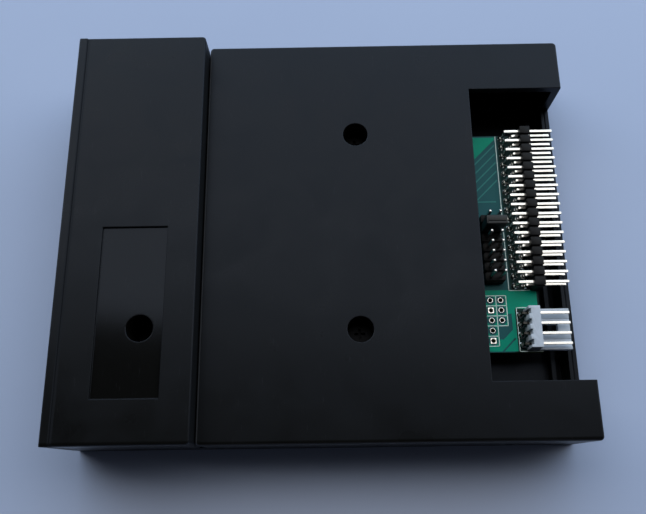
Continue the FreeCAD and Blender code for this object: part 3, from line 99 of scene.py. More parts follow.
def moulded_abs(name, dark, light, satin, edge_wear_and_highlight=1.0, marks=()):
    """Black ABS of this roughness, its edges rubbed smoother and painted lighter as a highlight, as
    far as `edge_wear_and_highlight` says.

    Its sheen is weak and a little blue, as the photograph's is; the blue is a painted reflection of
    a sky.
    Each mark is a strip across Y: its middle and half width in metres, its tone and its roughness.
    Returns the material, its shader and the output that holds its roughness.
    """
    # The sheen's blue tint is painted: it stands for the reflection of a blue sky.
    material, shader = new_finish(name, {
        "IOR": 1.5, "Specular IOR Level": 0.15, "Specular Tint": (0.62, 0.75, 1.0, 1.0)})
    place = add(material, "TexCoord").outputs["Object"]
    where = add(material, "SeparateXYZ", {"Vector": place})
    # Melt flow leaves slow changes of tone about 30 mm across.
    flow = add(material, "TexNoise", {"Vector": place, "Scale": 1 / (30 * MM), "Detail": 3.0})
    tone = add(material, "Mix", {
        "Factor": flow.outputs["Fac"], MIX_A: colour(dark), MIX_B: colour(light)},
        data_type="RGBA").outputs[MIXED]
    # Hands have rubbed the skin in patches about 12 mm across, some smoother and some duller.
    rub = add(material, "TexNoise", {
        "Vector": place, "Scale": 1 / (12 * MM), "Detail": 4.0, "Distortion": 0.6})
    rubbed = add(material, "MapRange", {
        "Value": rub.outputs["Fac"], "From Min": 0.3, "From Max": 0.7,
        "To Min": satin - 0.065, "To Max": satin + 0.065})
    # Edges are drawn 0.3 mm round, and the lean of the rounded surface tells them from level parts.
    rounded = add(material, "Bevel", {"Radius": 0.3 * MM}, samples=6)
    lean = add(material, "SeparateXYZ", {"Vector": rounded.outputs["Normal"]})
    # Scratches on level plastic are pale streaks 0.2 mm wide and 4 mm long, in two directions.
    # Only the crests of the pattern count, so they are few.
    level = add(material, "Math", {0: lean.outputs["Z"], 1: 0.98}, operation="GREATER_THAN")
    for turn in (-0.4, 1.1):
        stretch = add(material, "Mapping", {
            "Vector": place, "Rotation": (0.0, 0.0, turn), "Scale": (260.0, 4500.0, 260.0)})
        streak = add(material, "TexNoise", {
            "Vector": stretch.outputs["Vector"], "Scale": 1.0, "Detail": 1.0})
        few = add(material, "MapRange", {
            "Value": streak.outputs["Fac"], "From Min": 0.75, "From Max": 0.81,
            "To Min": 0.0, "To Max": 0.6})
        scratch = add(material, "Math", {
            0: few.outputs["Result"], 1: level.outputs["Value"]}, operation="MULTIPLY")
        tone = add(material, "Mix", {
            "Factor": scratch.outputs["Value"], MIX_A: tone, MIX_B: colour("#26272a")},
            data_type="RGBA").outputs[MIXED]
    # Upper edges are worn smooth where they lean by 10 to 29 degrees, and there they are also
    # painted lighter, a painted highlight in thin lines.
    edge = add(material, "Math", {0: lean.outputs["Z"], 1: 0.93, 2: 0.055}, operation="COMPARE")
    worn_and_highlight = add(material, "Math", {
        0: edge.outputs["Value"], 1: edge_wear_and_highlight}, operation="MULTIPLY").outputs["Value"]
    # The lighter edge tone is a painted highlight; the lower roughness below is the wear.
    tone = add(material, "Mix", {
        "Factor": worn_and_highlight, MIX_A: tone, MIX_B: colour("#222326")}, data_type="RGBA").outputs[MIXED]
    rough = add(material, "Math", {
        0: worn_and_highlight, 1: -0.18, 2: rubbed.outputs["Result"]}, operation="MULTIPLY_ADD").outputs["Value"]
    # The joint behind the front panel is painted dark as shade, and it is dull.
    joint_shade = (JOINT_Y + 0.1 * MM, 0.5 * MM, "#0c0c0c", 0.5)
    for middle, half, tint, dull in (joint_shade, *marks):
        strip = add(material, "Math", {
            0: where.outputs["Y"], 1: middle, 2: half}, operation="COMPARE").outputs["Value"]
        tone = add(material, "Mix", {
            "Factor": strip, MIX_A: tone, MIX_B: colour(tint)}, data_type="RGBA").outputs[MIXED]
        rough = add(material, "Mix", {"Factor": strip, "A": rough, "B": dull}).outputs["Result"]
    # The top sinks over the last millimetre before its right edge, so a dark line runs there.
    sink = add(material, "MapRange", {
        "Value": where.outputs["X"], "From Min": 49.8 * MM, "From Max": 50.7 * MM,
        "To Min": 0.0, "To Max": 0.5})
    fall = add(material, "CombineXYZ", {"X": sink.outputs["Result"]})
    slope = add(material, "VectorMath", {
        0: rounded.outputs["Normal"], 1: fall.outputs["Vector"]}, operation="ADD")
    slope = add(material, "VectorMath", {0: slope.outputs["Vector"]}, operation="NORMALIZE")
    # The real pebble is 0.1 mm, too fine to show, so it is drawn at 0.35 mm.
    pebble = add(material, "TexNoise", {
        "Vector": place, "Scale": 1 / (0.35 * MM), "Detail": 2.0})
    bump = add(material, "Bump", {
        "Height": pebble.outputs["Fac"], "Strength": 0.25, "Distance": 0.02 * MM,
        "Normal": slope.outputs["Vector"]})
    connect(material, tone, shader.inputs["Base Color"])
    connect(material, rough, shader.inputs["Roughness"])
    connect(material, bump.outputs["Normal"], shader.inputs["Normal"])
    return material, shader, rough


repaint(moulded_abs("moulded_abs_tray", BLACK, WORN_BLACK, 0.36, edge_wear_and_highlight=0.2)[0], "bottom_tray")


# Circuit board: 1.6 mm fibreglass laminate with copper on both sides under green solder mask.
# Copper under the mask shows as a brighter green, and bare laminate under it as a dark teal.
# It rests on the tray's posts, and the case screws pass through it. The holes' pads are tinned.
BOARD_UNDER, BOARD_TOP = 9.5, 11.1


def solder_mask(name, deep, clear, gloss):
    """Green epoxy mask, thicker in places, with the glass weave just showing through.

    Returns the material, its shader and the outputs that hold its tone and its roughness.
    """
    material, shader = new_finish(name, {"IOR": 1.5, "Specular IOR Level": 0.05})
    place = add(material, "TexCoord").outputs["Object"]
    # Threads of the weave are 0.6 mm apart, and the mask's depth changes over 6 mm.
    weave = add(material, "TexVoronoi", {"Vector": place, "Scale": 1 / (0.6 * MM)})
    depth = add(material, "TexNoise", {"Vector": place, "Scale": 1 / (6 * MM), "Detail": 3.0})
    tone = add(material, "Mix", {
        "Factor": depth.outputs["Fac"], MIX_A: colour(deep), MIX_B: colour(clear)},
        data_type="RGBA").outputs[MIXED]
    rough = add(material, "MapRange", {
        "Value": depth.outputs["Fac"],
        "To Min": gloss - 0.05, "To Max": gloss + 0.05}).outputs["Result"]
    bump = add(material, "Bump", {
        "Height": weave.outputs["Distance"], "Strength": 0.15, "Distance": 0.02 * MM})
    connect(material, tone, shader.inputs["Base Color"])
    connect(material, rough, shader.inputs["Roughness"])
    connect(material, bump.outputs["Normal"], shader.inputs["Normal"])
    return material, shader, tone, rough


laminate, shader, tone, rough = solder_mask("fibreglass_under_mask", "#1d4c53", "#245659", 0.34)
# Behind the headers the board is painted darker, as painted shade from the headers and their pins.
place = add(laminate, "TexCoord").outputs["Object"]
where = add(laminate, "SeparateXYZ", {"Vector": place})
header_shade = add(laminate, "MapRange", {
    "Value": where.outputs["Y"], "From Min": 46.4 * MM, "From Max": 47.0 * MM})
tone = add(laminate, "Mix", {
    "Factor": header_shade.outputs["Result"], MIX_A: tone, MIX_B: colour("#152a29")},
    data_type="RGBA").outputs[MIXED]
# The sawn rim of the board shows the pale glass fibre, dry and without mask.
facing = add(laminate, "NewGeometry").outputs["Normal"]
upright = add(laminate, "SeparateXYZ", {"Vector": facing})
level = add(laminate, "Math", {0: upright.outputs["Z"]}, operation="ABSOLUTE")
masked = add(laminate, "Math", {
    0: level.outputs["Value"], 1: 0.5}, operation="GREATER_THAN").outputs["Value"]
tone = add(laminate, "Mix", {
    "Factor": masked, MIX_A: colour("#5f6a44"), MIX_B: tone}, data_type="RGBA").outputs[MIXED]
rough = add(laminate, "Mix", {"Factor": masked, "A": 0.75, "B": rough}).outputs["Result"]
connect(laminate, tone, shader.inputs["Base Color"])
connect(laminate, rough, shader.inputs["Roughness"])
repaint(laminate, "circuit_board")

# Where each pin goes through the board, and the holes that have none.
PITCH, POWER_PITCH = 2.54, 2.5
DATA_FIRST, DATA_COLUMNS = -27.84, 17
JUMPER_FIRST, JUMPER_COLUMNS = -4.32, 7
POWER_FIRST, POWER_COLUMNS = 20.22, 4
BARE_FIRST = 16.36
JUMPER_ROWS = (41.54, 44.08)
data_places = [(DATA_FIRST + PITCH * step, y)
               for step in range(DATA_COLUMNS) for y in (47.97, 50.51)]
jumper_places = [(JUMPER_FIRST + PITCH * step, y)
                 for step in range(JUMPER_COLUMNS) for y in JUMPER_ROWS]
power_places = [(POWER_FIRST + POWER_PITCH * step, 48.52) for step in range(POWER_COLUMNS)]
bare_places = [(BARE_FIRST + PITCH * step, y)
               for y, count in zip(JUMPER_ROWS, (5, 3)) for step in range(count)]
SQUARE_PADS = [bare_places[1], bare_places[4]]

# The copper is drawn a little proud of the laminate, with its foot in it.
COPPER_FOOT, COPPER_TOP = BOARD_TOP - 0.02, BOARD_TOP + 0.04
# Cutters go this far above and below the board's face.
THROUGH = 0.5
# The copper keeps this far from the middle of each bare hole.
HOLE_CLEARANCE = 1.17


def alone(piece):
    """Select this piece and nothing else."""
    bpy.ops.object.select_all(action="DESELECT")
    piece.select_set(True)
    bpy.context.view_layer.objects.active = piece


def settle():
    """Put the new piece's place, turn and size into its mesh."""
    bpy.ops.object.transform_apply(location=True, rotation=True, scale=True)
    return bpy.context.object


def block(low, high, turn=0.0):
    """A square block between two corners in millimetres, turned about its own upright line."""
    bpy.ops.object.select_all(action="DESELECT")
    middle = [(a + b) / 2 * MM for a, b in zip(low, high)]
    bpy.ops.mesh.primitive_cube_add(size=1.0, location=middle, rotation=(0.0, 0.0, turn))
    bpy.context.object.scale = [(b - a) * MM for a, b in zip(low, high)]
    return settle()


def rod(radius, length, middle=(0.0, 0.0, 0.0), sides=28, turn=(0.0, 0.0, 0.0)):
    """A rod in millimetres, upright unless it is turned."""
    bpy.ops.object.select_all(action="DESELECT")
    bpy.ops.mesh.primitive_cylinder_add(
        vertices=sides, radius=radius * MM, depth=length * MM,
        location=[at * MM for at in middle], rotation=turn)
    return settle()


def everything(piece):
    """Open the piece for editing with all of it chosen."""
    alone(piece)
    bpy.ops.object.mode_set(mode="EDIT")
    bpy.ops.mesh.select_all(action="SELECT")


def close():
    """Leave editing."""
    bpy.ops.object.mode_set(mode="OBJECT")


def divide(piece, place, normal, drop=False):
    """Divide the faces along a plane, placed in millimetres, and drop what is past it or not."""
    everything(piece)
    bpy.ops.mesh.bisect(
        plane_co=[at * MM for at in place], plane_no=normal, clear_outer=drop, use_fill=drop)
    close()
    return piece


def finish_with(piece, kind, **settings):
    """Add a modifier to the piece and apply it."""
    alone(piece)
    step = piece.modifiers.new(kind.lower(), kind)
    for name, setting in settings.items():
        setattr(step, name, setting)
    bpy.ops.object.modifier_apply(modifier=step.name)


def cut(piece, *tools):
    """Take the tools' shapes out of the piece, and drop the tools."""
    for tool in tools:
        finish_with(piece, "BOOLEAN", operation="DIFFERENCE", object=tool, solver="EXACT")
        bpy.data.objects.remove(tool)
    return piece


def clearing(low, high, turn=0.0):
    """A cutter that bares the laminate between two corners in millimetres."""
    return block((*low, BOARD_TOP - THROUGH), (*high, BOARD_TOP + THROUGH), turn)


# The left copper area ends aslant. The right one is cleared round the bare holes, under the
# power header and beside the pads, and a narrow clearance runs aslant across its corner.
ASLANT = (1.0, 1.0, 0.0)
left_copper = divide(block((-28.2, 33.0, COPPER_FOOT), (-13.0, 46.1, COPPER_TOP)),
                     (0.0, 18.5, 0.0), ASLANT, drop=True)
right_copper = block((13.8, 31.0, COPPER_FOOT), (29.15, 53.1, COPPER_TOP))
for x, y in bare_places:
    cut(right_copper, rod(HOLE_CLEARANCE, 2 * THROUGH, (x, y, BOARD_TOP)))
cut(right_copper,
    clearing((18.6, 47.4), (29.5, 53.5)),
    divide(clearing((22.9, 43.1), (26.2, 46.5)), (70.3, 0.0, 0.0), ASLANT, drop=True),
    clearing((19.8, 45.6), (22.95, 46.5)),
    clearing((25.2, 44.9), (30.4, 45.3), turn=math.radians(-45)))


def track(start, end, width=0.28):
    """A straight copper track under the mask, between two places in millimetres."""
    middle = [(a + b) / 2 for a, b in zip(start, end)]
    half = math.dist(start, end) / 2
    turn = math.atan2(end[1] - start[1], end[0] - start[0])
    return block((middle[0] - half, middle[1] - width / 2, COPPER_FOOT),
                 (middle[0] + half, middle[1] + width / 2, COPPER_TOP), turn)


def join(pieces):
    """Join pieces as one."""
    alone(pieces[0])
    for piece in pieces:
        piece.select_set(True)
    if len(pieces) > 1:
        bpy.ops.object.join()
    return pieces[0]


def fit(piece, name, material, slot, body, *replaced):
    """Name a new piece, give it its finish and body, and hide the CAD nodes it stands for. The slot
    argument is not used.
    """
    piece.name = name
    piece.data.materials.clear()
    piece.data.materials.append(material)
    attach(piece, body)
    if replaced:
        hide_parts(*replaced)


# Five tracks run aslant side by side, from the header's pads to under the cover, and one runs
# straight beside them.
TRACK_STEP, TRACK_RUN, TRACK_END = 2.5, 12.8, 33.2
slanted = [-26.0 + TRACK_STEP * step for step in range(5)]
tracks = [track((x, 46.0), (x + TRACK_RUN, TRACK_END)) for x in slanted]
tracks.append(track((-9.85, TRACK_END), (-9.85, 45.2)))
copper = solder_mask("copper_under_mask", "#017964", "#058e74", 0.3)[0]
fit(join([left_copper, right_copper]), "board_copper", copper, "board_laminate", "case")
# A narrow track lets more of the laminate's tone through than a wide area does.
thin_copper = solder_mask("tracks_under_mask", "#31716d", "#3a807b", 0.3)[0]
fit(join(tracks), "board_tracks", thin_copper, "board_laminate", "case")


def round_off(piece, radius, segments=2, over=30):
    """Round the edges that turn by more than an angle in degrees, and shade them smooth."""
    finish_with(piece, "BEVEL", width=radius * MM, segments=segments, limit_method="ANGLE",
                angle_limit=math.radians(over))
    bpy.ops.object.shade_smooth_by_angle(angle=math.radians(35))
    return piece


def twin(model):
    """A copy of the piece with its own mesh."""
    copy = model.copy()
    copy.data = model.data.copy()
    bpy.context.collection.objects.link(copy)
    return copy


def copies(model, places):
    """Copy the model to each place in millimetres, and drop the model."""
    made = [twin(model) for place in places]
    for copy, place in zip(made, places):
        copy.data.transform(Matrix.Translation([at * MM for at in place]))
    bpy.data.objects.remove(model)
    return made


# Tinned pads: the solder stands up a little round each hole. Two of the pads are square.
PAD_RADIUS, PAD_SWELL = 0.61, 0.13
SQUARE_HALF, SQUARE_HOLE = 0.73, 0.5
bpy.ops.object.select_all(action="DESELECT")
bpy.ops.mesh.primitive_torus_add(
    major_segments=28, minor_segments=8, major_radius=PAD_RADIUS * MM, minor_radius=PAD_SWELL * MM)
bpy.context.object.scale = (1.0, 1.0, 0.5)
ring = settle()
bpy.ops.object.shade_smooth()
pads = copies(ring, [(*at, COPPER_TOP) for at in bare_places if at not in SQUARE_PADS])
for x, y in SQUARE_PADS:
    pad = block((x - SQUARE_HALF, y - SQUARE_HALF, BOARD_TOP - 0.01),
                (x + SQUARE_HALF, y + SQUARE_HALF, COPPER_TOP + 0.03))
    cut(pad, rod(SQUARE_HOLE, 2 * THROUGH, (x, y, BOARD_TOP)))
    pads.append(round_off(pad, 0.025, 1))


def pull(x=0.0, y=0.0, z=0.0):
    """Extrude what is chosen by a step in millimetres."""
    bpy.ops.mesh.extrude_region_move(TRANSFORM_OT_translate={"value": (x * MM, y * MM, z * MM)})


def squeeze(x, y, z, middle):
    """Scale what is chosen about a place in millimetres."""
    bpy.ops.transform.resize(value=(x, y, z), center_override=[at * MM for at in middle])


# The pins are soldered, and the solder creeps along each in a hollow cone, above and below.
# Each step up the cone has a rise in millimetres and a narrowing.
bpy.ops.object.select_all(action="DESELECT")
bpy.ops.mesh.primitive_circle_add(vertices=20, radius=0.85 * MM, fill_type="NGON")
cone = settle()
everything(cone)
for rise, narrowing in ((0.06, 0.88), (0.1, 0.82), (0.16, 0.82), (0.22, 0.86)):
    pull(z=rise)
    squeeze(narrowing, narrowing, 1.0, (0.0, 0.0, 0.0))
bpy.ops.mesh.select_all(action="SELECT")
bpy.ops.mesh.normals_make_consistent(inside=False)
close()
bpy.ops.object.shade_smooth_by_angle(angle=math.radians(50))
hanging_cone = twin(cone)
hanging_cone.data.transform(Matrix.Rotation(math.pi, 4, "X"))
fillets = copies(hanging_cone, [(*at, BOARD_UNDER)
                                for at in data_places + jumper_places + power_places])
fillets += copies(cone, [(*at, BOARD_TOP) for at in data_places + power_places])


def mottle(material, shader, size, dark, light, rough=None, relief=None, detail=4.0, swirl=0.0):
    """Vary a finish in soft patches of a size in millimetres, and return its tone.

    They run from a dark tone to a light one and, where given, between two roughnesses. Relief
    is a bump's strength and its depth in millimetres. The grain of most finishes here is finer
    than 0.3 mm, which doesn't show, so it is drawn that coarse or coarser.
    """
    place = add(material, "TexCoord").outputs["Object"]
    patches = add(material, "TexNoise", {
        "Vector": place, "Scale": 1 / (size * MM), "Detail": detail,
        "Distortion": swirl}).outputs["Fac"]
    tone = add(material, "Mix", {
        "Factor": patches, MIX_A: colour(dark), MIX_B: colour(light)},
        data_type="RGBA").outputs[MIXED]
    connect(material, tone, shader.inputs["Base Color"])
    if rough:
        satin = add(material, "MapRange", {
            "Value": patches, "To Min": rough[0], "To Max": rough[1]})
        connect(material, satin.outputs["Result"], shader.inputs["Roughness"])
    if relief:
        bump = add(material, "Bump", {
            "Height": patches, "Strength": relief[0], "Distance": relief[1] * MM})
        connect(material, bump.outputs["Normal"], shader.inputs["Normal"])
    return tone


def patch(material, *limits):
    """1 on the part of a piece that keeps within the limits, and 0 elsewhere.

    Each limit is an axis, the side of it that counts, and its place in millimetres.
    """
    place = add(material, "TexCoord").outputs["Object"]
    where = add(material, "SeparateXYZ", {"Vector": place})
    inside = 1.0
    for axis, side, limit in limits:
        passed = add(material, "Math", {0: where.outputs[axis], 1: limit * MM}, operation=side)
        inside = add(material, "Math", {
            0: inside, 1: passed.outputs["Value"]}, operation="MULTIPLY").outputs["Value"]
    return inside


# Pads and pins are plated with bright tin: a white metal with a soft shine, a little cloudy.
tin, shader = new_finish("bright_tin_plate", {"Metallic": 1.0})
tone = mottle(tin, shader, 1.5, "#c6c6c4", "#dcdcd8", rough=(0.18, 0.28), detail=3.0)
# The bends of the pins behind the power header's wall are painted dark as shade.
shaded_bends = patch(tin, ("X", "GREATER_THAN", 19.0),
                  ("Y", "GREATER_THAN", 46.5), ("Y", "LESS_THAN", 49.9))
tone = add(tin, "Mix", {
    "Factor": shaded_bends, MIX_A: tone, MIX_B: colour("#343534")}, data_type="RGBA").outputs[MIXED]
connect(tin, tone, shader.inputs["Base Color"])
# The pins are drawn square with soft corners, so only the middle of a face catches the light.
soft = add(tin, "Bevel", {"Radius": 0.16 * MM}, samples=6)
connect(tin, soft.outputs["Normal"], shader.inputs["Normal"])
fit(join(pads), "board_pads", tin, "pin_tin", "case")

# Solder freezes as a mirror with a faint frost, so it is mostly dark, with bright crescents.
solder, shader = new_finish("frozen_solder", {"Metallic": 1.0})
mottle(solder, shader, 0.5, "#8f908f", "#b4b5b3", rough=(0.08, 0.18), detail=3.0)
fit(join(fillets), "board_solder", solder, "pin_tin", "case")

# White lines are screen printed in epoxy ink round the headers' places. The ink is matt, and
# thin enough to let a little green through.
INK_WIDTH, INK_TOP = 0.17, COPPER_TOP + 0.02


def ink_line(start, end):
    """A printed line along X or Y, between two places in millimetres."""
    low = [min(a, b) - INK_WIDTH / 2 for a, b in zip(start, end)]
    high = [max(a, b) + INK_WIDTH / 2 for a, b in zip(start, end)]
    return block((*low, BOARD_TOP), (*high, INK_TOP))


# Beside the data header.
lines = [ink_line((-28.4, 46.4), (13.9, 46.4)), ink_line((13.9, 46.4), (13.9, 51.5))]
# Round the bare holes: squares in a row of five and a row of three.
FRONT_LINE, MIDDLE_LINE, REAR_LINE = 40.3, 42.93, 45.45
lines += [ink_line((15.2, y), (27.81, y)) for y in (FRONT_LINE, MIDDLE_LINE)]
lines += [ink_line((15.2, REAR_LINE), (22.8, REAR_LINE))]
lines += [ink_line((x, FRONT_LINE), (x, REAR_LINE)) for x in (15.2, 17.75, 20.3, 22.8)]
lines += [ink_line((x, FRONT_LINE), (x, MIDDLE_LINE)) for x in (25.35, 27.81)]
# Round the power header.
lines += [ink_line((18.3, 47.8), (29.2, 47.8)), ink_line((18.3, 47.8), (18.3, 50.8)),
          ink_line((29.2, 47.8), (29.2, 53.4))]
ink, shader = new_finish("white_epoxy_ink", {"Roughness": 0.55})
mottle(ink, shader, 0.4, "#b8cfcc", "#dcecea", detail=2.0)
fit(join(lines), "board_ink", ink, "board_laminate", "case")


# Parts soldered to the board under the cover: the controller, its crystal, a regulator, two
# aluminium cans and small chip parts. The mouldings are black epoxy, matte from the mould.
epoxy, shader = new_finish("moulded_epoxy", {
    "IOR": 1.55, "Specular IOR Level": 0.35, "Roughness": 0.62})
mottle(epoxy, shader, 0.3, "#131314", "#232324", relief=(0.4, 0.03), detail=5.0)
repaint(epoxy, "microcontroller", "capacitor_feet")
repaint(tin, "microcontroller_leads", "regulator_leads")


def choose(piece, kind, test):
    """Open the piece for editing with the "faces" or "edges" chosen that pass the test.

    A face is tested by its middle and its normal, an edge by its two ends, in millimetres.
    """
    alone(piece)
    mesh = piece.data
    bpy.context.tool_settings.mesh_select_mode = (False, kind == "edges", kind == "faces")
    for part in (*mesh.vertices, *mesh.edges, *mesh.polygons):
        part.select = False
    if kind == "faces":
        for face in mesh.polygons:
            face.select = test(face.center / MM, face.normal)
    else:
        for edge in mesh.edges:
            edge.select = test(*(mesh.vertices[end].co / MM for end in edge.vertices))
    bpy.ops.object.mode_set(mode="EDIT")


# The regulator's moulding tapers towards its top, so that it leaves the mould.
low, high = (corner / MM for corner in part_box("voltage_regulator"))
regulator = block(low, high)
choose(regulator, "faces", lambda middle, normal: normal.z > 0.9)
squeeze(0.9, 0.86, 1.0, (low + high) / 2)
close()
fit(round_off(regulator, 0.12), "regulator_moulding",
    epoxy, "chip_mould", "case", "voltage_regulator")

# The crystal's can is drawn nickel silver, brushed to a soft shine by its tumbling.
can_metal, shader = new_finish("drawn_nickel_can", {"Metallic": 1.0})
mottle(can_metal, shader, 0.8, "#9a9a96", "#c4c4c0", rough=(0.2, 0.4), detail=5.0)
repaint(can_metal, "clock_crystal")

# The cans are drawn aluminium, pale and softly bright. A printed black segment on the top marks
# the side of the negative lead.
aluminium, shader = new_finish("drawn_aluminium_can", {"Metallic": 1.0})
place = add(aluminium, "TexCoord").outputs["Object"]
drawn = add(aluminium, "TexNoise", {"Vector": place, "Scale": 1 / (0.5 * MM), "Detail": 3.0})
printed = patch(aluminium, ("X", "LESS_THAN", 8.3), ("Z", "GREATER_THAN", 16.4))
tone = add(aluminium, "Mix", {
    "Factor": printed, MIX_A: colour("#c9cbd0"), MIX_B: colour("#101012")}, data_type="RGBA")
rough = add(aluminium, "MapRange", {
    "Value": drawn.outputs["Fac"], "To Min": 0.22, "To Max": 0.42})
connect(aluminium, tone.outputs[MIXED], shader.inputs["Base Color"])
connect(aluminium, rough.outputs["Result"], shader.inputs["Roughness"])
repaint(aluminium, "capacitor_cans")

# Chip parts: a ceramic body between two tinned ends, placed as the CAD node has them.
capacitor_places = [
    (-9.0, 5.2), (-4.5, 5.2), (0.0, 5.2), (-9.5, -14.3), (4.5, -14.3), (8.5, -5.3),
    (-20.5, -14.3), (-20.5, -4.3), (11.0, 28.7), (22.5, 28.7)]
resistor_places = [(-22.0 + 3.2 * column, 18.7 + 4.0 * row)
                   for column in range(6) for row in range(2)]


def chip_part(half, width, height, end, places):
    """Bodies and tinned ends of one kind of chip part, at each of its places.

    The ends wrap round the body and stand out from it by the wrap.
    """
    wrap = 0.03
    body = block((-half + end, -width / 2 + wrap, 0.02),
                 (half - end, width / 2 - wrap, height - wrap))
    caps = [block((side - end / 2, -width / 2, 0.0), (side + end / 2, width / 2, height))
            for side in (-half + end / 2, half - end / 2)]
    set_places = [(*at, BOARD_TOP) for at in places]
    return (copies(round_off(body, 0.04, 1), set_places),
            copies(join([round_off(cap, 0.08) for cap in caps]), set_places))


# The capacitors' fired ceramic is a dull, grainy brown.
bodies, capacitor_ends = chip_part(1.0, 1.25, 0.85, 0.35, capacitor_places)
ceramic, shader = new_finish("fired_capacitor_ceramic", {"Roughness": 0.5})
mottle(ceramic, shader, 0.3, "#8d6a44", "#b08c62")
fit(join(bodies), "capacitor_chips", ceramic, "capacitor_ceramic", "case", "chip_capacitors")

# The resistors are covered with a black glaze that shines.
bodies, resistor_ends = chip_part(0.8, 0.8, 0.45, 0.28, resistor_places)
glaze, shader = new_finish("glazed_resistor_film", {"IOR": 1.5})
mottle(glaze, shader, 0.4, "#0f0f12", "#1e1e24", rough=(0.2, 0.35), detail=3.0)
fit(join(bodies), "resistor_chips", glaze, "resistor_ceramic", "case", "chip_resistors")
fit(join(capacitor_ends + resistor_ends), "chip_part_ends", tin, "pin_tin", "case")


# Data header: a black block moulded in glass-filled polyester, notched between the pins, and two
# rows of tinned square pins, pressed through it and bent down into the board. Glass fibre near
# the block's skin makes it dull and finely mottled.
header_plastic, shader = new_finish("glass_filled_polyester", {
    "IOR": 1.55, "Specular IOR Level": 0.1})
mottle(header_plastic, shader, 0.4, "#0a0a0c", "#141416", rough=(0.4, 0.6), relief=(0.3, 0.03))
GROOVE_HALF, GROOVE_DEPTH = 0.28, 0.6


def notched_block(node, name, first, count, notch):
    """A header's block, notched between its columns so that it can be broken to length."""
    low, high = (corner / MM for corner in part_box(node))
    middle = (low + high) / 2
    length = block(low, high)
    between = [first + PITCH * (step - 0.5) for step in range(count + 1)]
    # A four sided rod cuts each notch as a V, and a groove joins the notches over the top.
    for y in (low.y, high.y):
        notches = copies(rod(notch, 12.0, sides=4), [(x, y, middle.z) for x in between])
        cut(length, join(notches))
    groove = block((-GROOVE_HALF, -4.0, -GROOVE_DEPTH), (GROOVE_HALF, 4.0, GROOVE_DEPTH))
    cut(length, join(copies(groove, [(x, middle.y, high.z) for x in between])))
    fit(round_off(length, 0.06, over=40), name, header_plastic, "header_plastic", "case", node)


notched_block("data_header_body", "data_header_block", DATA_FIRST, DATA_COLUMNS, 0.35)
repaint(tin, "data_header_upper_pins", "data_header_lower_pins")


# Power header: one moulding in natural nylon, a wall that holds four pins and a slotted tongue
# that guides the plug. Its back is notched for the bent pins, and a rail runs along each side.
WALL_LOW, WALL_HIGH = (18.9, 49.45, BOARD_TOP), (29.0, 52.2, 15.9)
TONGUE_TOP, TONGUE_UNDER, TONGUE_END = 11.9, 10.4, 60.2
SHELF_END = 53.8
RAIL, RAIL_RISE = 0.8, 0.35
RAIL_EDGES = (WALL_LOW[0] + RAIL, WALL_HIGH[0] - RAIL)
SLOT_HALF, SLOT_DEPTH, SLOT_START = 0.14, 0.12, 53.2
NOTCH_HALF = 0.65
nylon_block = divide(block(WALL_LOW, WALL_HIGH), (0.0, 0.0, TONGUE_TOP), (0.0, 0.0, 1.0))
choose(nylon_block, "faces", lambda middle, normal: normal.y > 0.9 and middle.z < TONGUE_TOP)
pull(y=SHELF_END - WALL_HIGH[1])
pull(y=TONGUE_END - SHELF_END)
close()
choose(nylon_block, "faces", lambda middle, normal: normal.z < -0.9 and middle.y > SHELF_END)
pull(z=TONGUE_UNDER - BOARD_TOP)
close()
for x in RAIL_EDGES:
    divide(nylon_block, (x, 0.0, 0.0), (1.0, 0.0, 0.0))
choose(nylon_block, "faces", lambda middle, normal: (
    normal.z > 0.9 and middle.z < TONGUE_TOP + 0.1
    and not RAIL_EDGES[0] < middle.x < RAIL_EDGES[1]))
pull(z=RAIL_RISE)
close()
# A window in the tongue, a fine slot to each side of it, and the notches in the back.
cut(nylon_block, block((22.7, SLOT_START, 10.0), (24.55, 57.3, 13.0)))
for x in (21.47, 26.47):
    cut(nylon_block, block((x - SLOT_HALF, SLOT_START, TONGUE_TOP - SLOT_DEPTH),
                           (x + SLOT_HALF, 61.0, 13.0)))
for x, y in power_places:
    cut(nylon_block, block((x - NOTCH_HALF, 48.9, 10.0), (x + NOTCH_HALF, 50.0, 17.0)))
# Natural nylon is milky: light sinks into it a little, and its flow leaves faint clouds.
nylon, shader = new_finish("moulded_nylon", {
    "IOR": 1.53, "Specular IOR Level": 0.15, "Subsurface Weight": 0.12,
    "Subsurface Radius": (1.0, 1.0, 1.0), "Subsurface Scale": 0.6 * MM})
mottle(nylon, shader, 2.0, "#a3acb9", "#b4bdc9",
       rough=(0.4, 0.52), relief=(0.2, 0.04), swirl=0.5)
fit(round_off(nylon_block, 0.1), "power_header_block",
    nylon, "nylon_white", "case", "power_header_body")
repaint(tin, "power_header_pins")


# Jumper block: two rows of seven straight pins in a low notched block of the same polyester, and
# one push-on cap that bridges a pair. The cap has a folded bronze spring inside.
notched_block("jumper_block_body", "jumper_block", JUMPER_FIRST, JUMPER_COLUMNS, 0.5)
repaint(tin, "jumper_block_pins")
CAP_SLOT_HALF, CAP_SLOT_LENGTH, CAP_SKIN = 0.68, 4.1, 0.65
cap_low, cap_high = (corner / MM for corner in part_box("jumper_cap"))
middle = (cap_low + cap_high) / 2
cap = block(cap_low, cap_high)
choose(cap, "edges", lambda a, b: abs(a.z - b.z) > 1.0)
bpy.ops.mesh.bevel(offset=0.25 * MM, segments=3)
close()
# A shallow groove runs along the top, and the slot below it takes the two pins.
cut(cap, block((middle.x + 0.35, cap_low.y + 0.4, cap_high.z - 0.18),
               (middle.x + 0.5, cap_high.y - 0.4, cap_high.z + 1.0)))
cut(cap, block((middle.x - CAP_SLOT_HALF, middle.y - CAP_SLOT_LENGTH / 2, cap_low.z - 1.0),
               (middle.x + CAP_SLOT_HALF, middle.y + CAP_SLOT_LENGTH / 2, cap_high.z - CAP_SKIN)))
